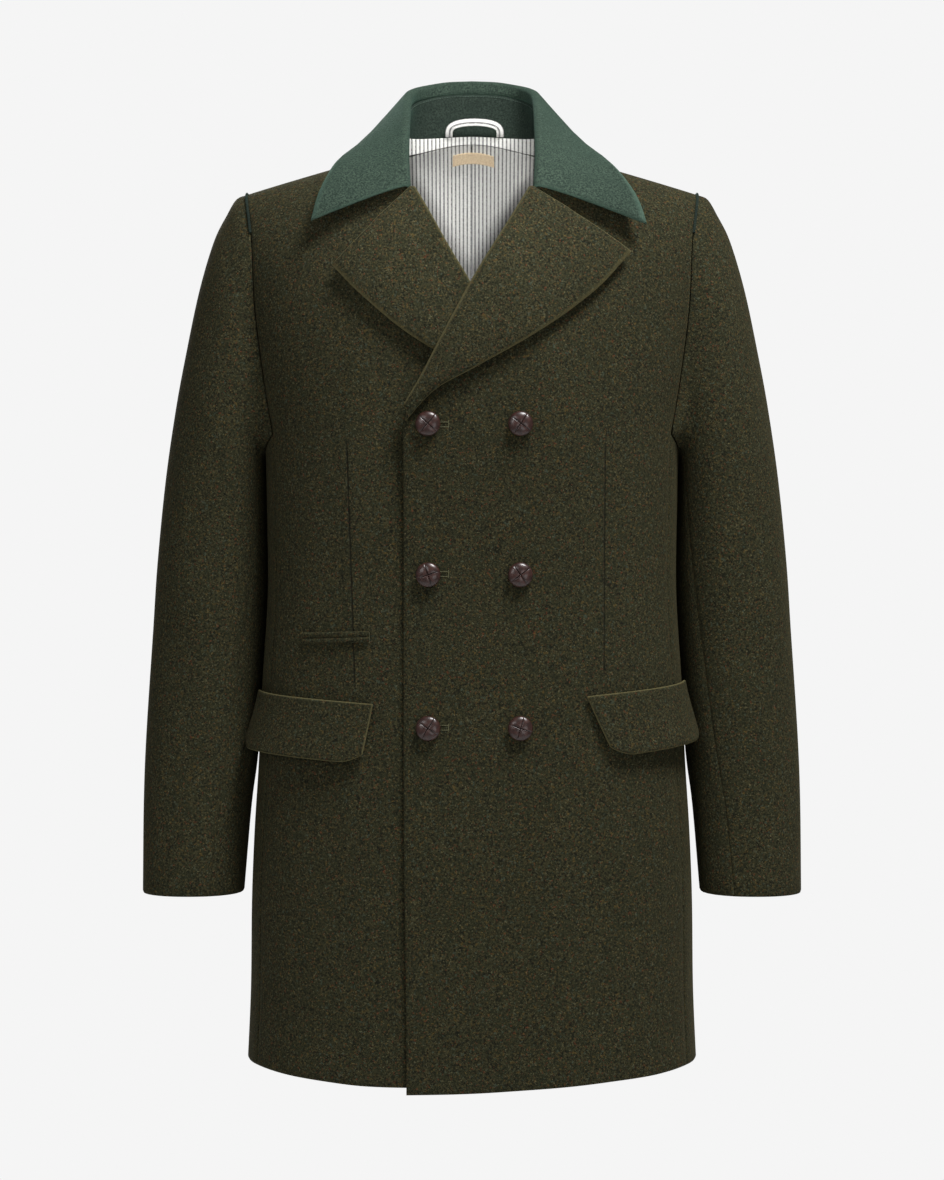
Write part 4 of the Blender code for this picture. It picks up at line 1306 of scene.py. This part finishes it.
def piping_path():
    """Middle of the piping, resting in the crease between body and sleeve."""
    outer, inner, _, _ = sleeve_grids("left")
    count = len(outer[0])
    path = []
    front = [(level, "front_x", False) for level, _ in front_upper_rows() if level > PIPING_FRONT_LEVEL]
    back = [(level, "back_x", True) for level, _ in reversed(back_upper_rows()[:-1])
            if level > PIPING_BACK_LEVEL]
    ends = ([(PIPING_FRONT_LEVEL, "front_x", False)], [(PIPING_BACK_LEVEL, "back_x", True)])
    for level, column, behind in ends[0] + front + back + ends[1]:
        angle = angle_at(level, table_at(ARMHOLE, column, level), back=behind)
        point = body_point(level, angle) + Vector((SEAM_GAP / 2, 0.0, 0.0))
        nearest = min(range(count), key=lambda i: (outer[0][i] - point).length)
        sleeve_normal = (outer[0][nearest] - inner[0][nearest]).normalized()
        body_normal = surface_normal(level, angle)
        between = (body_normal + sleeve_normal).normalized()
        rise = (PIPING_RADIUS + PIPING_GAP) / max(between.dot(body_normal), 0.5)
        path.append(point + between * (rise - CORD_SINK))
    return path


CORD_RADIUS = 1.3
CORD_SINK = 1.9
# The piping in the collar's felt, darkened as painted shade for the crease between body and sleeve.
shaded_piping_felt = felt_material("shaded_piping_felt", 0.55)
path = piping_path()
for hand in SIDES:
    curve = bpy.data.curves.new("cord_" + hand, "CURVE")
    curve.dimensions = "3D"
    curve.bevel_depth = CORD_RADIUS * MM
    curve.bevel_resolution = 4
    curve.use_fill_caps = True
    spline = curve.splines.new("POLY")
    spline.points.add(len(path) - 1)
    for spot, point in zip(spline.points, path):
        spot.co = (point.x * SIDES[hand] * MM, point.y * MM, point.z * MM, 1.0)
    cord = bpy.data.objects.new("cord_" + hand, curve)
    mesh = bpy.data.meshes.new_from_object(cord)
    bpy.data.objects.remove(cord)
    finish_piece("piping_" + hand, mesh, shaded_piping_felt)


# Hand work. Keyhole buttonholes beside the left column of buttons in olive thread,
# bar tacks on the ticket pocket, and one row of stitches along the collar stand's top.
def stitch_tree():
    """Row of long beads of thread, laid along a line at an even spacing."""
    tree = bpy.data.node_groups.new("stitch_row", "GeometryNodeTree")
    sockets = (("Line", "Geometry"), ("Spacing", "Float"), ("Length", "Float"), ("Thickness", "Float"),
               ("Thread", "Material"))
    for name, kind in sockets:
        tree.interface.new_socket(name, in_out="INPUT", socket_type="NodeSocket" + kind)
    tree.interface.new_socket("Stitches", in_out="OUTPUT", socket_type="NodeSocketGeometry")

    def node(kind, settings, **wires):
        made = tree.nodes.new(kind)
        for key, value in settings.items():
            setattr(made, key, value)
        for key, value in wires.items():
            socket = made.inputs[key.replace("_", " ")]
            if hasattr(value, "links"):
                tree.links.new(value, socket)
            else:
                socket.default_value = value
        return made

    given = node("NodeGroupInput", {}).outputs
    line = node("GeometryNodeMeshToCurve", {}, Mesh=given["Line"]).outputs[0]
    even = {"mode": "LENGTH"}
    spots = node("GeometryNodeResampleCurve", even, Curve=line, Length=given["Spacing"]).outputs[0]
    bead = node("GeometryNodeMeshUVSphere", {}, Segments=8, Rings=6, Radius=0.5).outputs[0]
    along = node("GeometryNodeInputTangent", {}).outputs[0]
    turn = node("FunctionNodeAlignRotationToVector", {"axis": "X"}, Vector=along).outputs[0]
    long, thick = given["Length"], given["Thickness"]
    size = node("ShaderNodeCombineXYZ", {}, X=long, Y=thick, Z=thick).outputs[0]
    beads = node("GeometryNodeInstanceOnPoints", {}, Points=spots, Instance=bead, Rotation=turn,
                 Scale=size).outputs[0]
    real = node("GeometryNodeRealizeInstances", {}, Geometry=beads).outputs[0]
    sewn = node("GeometryNodeSetMaterial", {}, Geometry=real, Material=given["Thread"]).outputs[0]
    node("NodeGroupOutput", {}, Stitches=sewn)
    return tree


def sew(name, lines, spacing, length, thickness, thread):
    """Stitches along each line of points, all in one piece."""
    points, edges = [], []
    for line in lines:
        edges += [(len(points) + k, len(points) + k + 1) for k in range(len(line) - 1)]
        points += [point * MM for point in line]
    mesh = bpy.data.meshes.new(name)
    mesh.from_pydata(points, edges, [])
    row = bpy.data.objects.new(name, mesh)
    bpy.context.scene.collection.objects.link(row)
    modifier = row.modifiers.new("stitches", "NODES")
    modifier.node_group = stitch_row
    values = {"Spacing": spacing * MM, "Length": length * MM, "Thickness": thickness * MM, "Thread": thread}
    for item in stitch_row.interface.items_tree:
        if item.name in values:
            modifier[item.identifier] = values[item.name]
    plain = bpy.data.meshes.new_from_object(row.evaluated_get(bpy.context.evaluated_depsgraph_get()))
    row.modifiers.clear()
    row.data = plain
    plain.shade_smooth()
    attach(row, "root")
    return row


def thread_material(name, dark, light):
    material, place, shader = start_material(name, Roughness=0.7)
    twist = noise(place, 1800.0, 1.0)
    colour = twist.smooth(0.3, 0.7).blend(srgb(*dark), srgb(*light))
    plug(shader, Base_Color=colour, Normal=bumped(twist, 0.3, 0.0002))
    return material


HOLE_START = -33.0
HOLE_END = -21.5
HOLE_TALL = 4.4
HOLE_BAR = 0.7
HOLE_RISE = 0.5
HOLE_LIFT = 0.2
TACK_MIDDLE = 1.0
TACK_TALL = 9.0
TACK_LIFT = 1.6
STITCH_LIFT = 0.2
STAND_STITCH_END = 0.86
STAND_STITCH_DROP = 2.2

stitch_row = stitch_tree()
olive_thread = thread_material("olive_thread", (66, 66, 42), (104, 102, 68))
green_thread = thread_material("green_thread", (40, 56, 48), (84, 104, 92))

holes = []
for level in BUTTON_ROWS:
    middle = level + HOLE_RISE
    for z in (middle + HOLE_TALL / 2, middle - HOLE_TALL / 2):
        holes.append([front_point("left", mix(HOLE_START, HOLE_END, u), z, HOLE_LIFT) for u in steps(8)])
    bar = [middle + mix(-HOLE_BAR, HOLE_BAR, u) * HOLE_TALL for u in steps(6)]
    holes.append([front_point("left", HOLE_END, z, HOLE_LIFT) for z in bar])
sew("buttonholes", holes, 0.8, 1.2, 0.85, olive_thread)

tacks = []
for x in (TICKET_IN, TICKET_OUT):
    rises = [TICKET_Z + TACK_MIDDLE + mix(-0.5, 0.5, u) * TACK_TALL for u in steps(6)]
    tack = [front_point("right", x, z, TACK_LIFT) for z in rises]
    tacks.append(mirrored([tack], "right")[0])
sew("pocket_tacks", tacks, 0.7, 0.9, 0.7, olive_thread)

turns = [turn for turn in steps(COLLAR_STEPS) if turn <= STAND_STITCH_END]
row = []
for turn in turns:
    strip = stand_strip(turn, -STITCH_LIFT)
    height = (strip[-1] - strip[0]).length
    row.append(strip[-1].lerp(strip[0], STAND_STITCH_DROP / height))
row = [Vector((-p.x, p.y, p.z)) for p in row[:0:-1]] + row
sew("stand_stitches", [row], 2.6, 2.0, 0.6, green_thread)


# Stage, light and camera. A pale studio floor well below the hem, a bright even
# surround, and the photographer's level view from the front.
FLOOR_Z = -1.42
FLOOR_RADIUS = 1.85
SURROUND = 0.913
AMBIENT = 0.16
CAMERA_AT = (0.0, -2.4, -0.382)
CAMERA_LENS = 75.48
LIGHT_AIM = (0.0, 0.0, -0.35)
NECK_SPOT = (0.0, -2.2, -0.42)
NECK_AIM = (0.0, 0.05, 0.03)
NECK_CONE = 5.0
NECK_POWER = 210.0
NECK_BLEND = 0.6
NECK_SIZE = 0.12
LIGHTS = [
    ("key", (0.75, -1.0, 1.7), 62.0, 0.9),
    ("fill", (-1.5, -2.6, 0.6), 14.0, 1.4),
    ("low", (0.9, -2.8, -0.6), 7.0, 1.2),
    ("back", (-0.8, 2.4, 0.9), 24.0, 1.4),
]
floor_material, _, floor_shader = start_material("studio_floor", Roughness=0.9)
floor_shader.inputs["Base Color"].default_value = srgb(236, 236, 236)
bm = bmesh.new()
bmesh.ops.create_circle(bm, cap_ends=True, segments=64, radius=FLOOR_RADIUS,
                        matrix=Matrix.Translation((0, 0, FLOOR_Z)))
mesh = bpy.data.meshes.new("floor")
bm.to_mesh(mesh)
bm.free()
mesh.materials.append(floor_material)
floor = bpy.data.objects.new("floor", mesh)
bpy.context.scene.collection.objects.link(floor)

world = bpy.data.worlds.new("studio")
world.use_nodes = True
surround = world.node_tree.nodes["Background"]
surround.inputs["Color"].default_value = (1.0, 1.0, 1.0, 1.0)
seen = Wire(world.node_tree, world.node_tree.nodes.new("ShaderNodeLightPath").outputs["Is Camera Ray"])
plug(surround, Strength=seen * (SURROUND - AMBIENT) + AMBIENT)
bpy.context.scene.world = world
bpy.context.scene.view_settings.view_transform = "Standard"

for name, spot, power, wide in LIGHTS:
    lamp = bpy.data.lights.new(name, "AREA")
    lamp.energy = power
    lamp.shape = "DISK"
    lamp.size = wide
    light = bpy.data.objects.new(name, lamp)
    light.location = spot
    light.visible_camera = False
    light.rotation_euler = (Vector(LIGHT_AIM) - Vector(spot)).to_track_quat("-Z", "Y").to_euler()
    bpy.context.scene.collection.objects.link(light)

lamp = bpy.data.lights.new("neck_spot", "SPOT")
lamp.energy = NECK_POWER
lamp.spot_size = math.radians(NECK_CONE)
lamp.spot_blend = NECK_BLEND
lamp.shadow_soft_size = NECK_SIZE
light = bpy.data.objects.new("neck_spot", lamp)
light.location = NECK_SPOT
light.rotation_euler = (Vector(NECK_AIM) - Vector(NECK_SPOT)).to_track_quat("-Z", "Y").to_euler()
bpy.context.scene.collection.objects.link(light)

camera_data = bpy.data.cameras.new("camera")
camera_data.sensor_fit = "VERTICAL"
camera_data.sensor_height = 36.0
camera_data.lens = CAMERA_LENS
camera = bpy.data.objects.new("camera", camera_data)
camera.location = CAMERA_AT
camera.rotation_euler = (math.pi / 2, 0.0, 0.0)
bpy.context.scene.collection.objects.link(camera)
bpy.context.scene.camera = camera
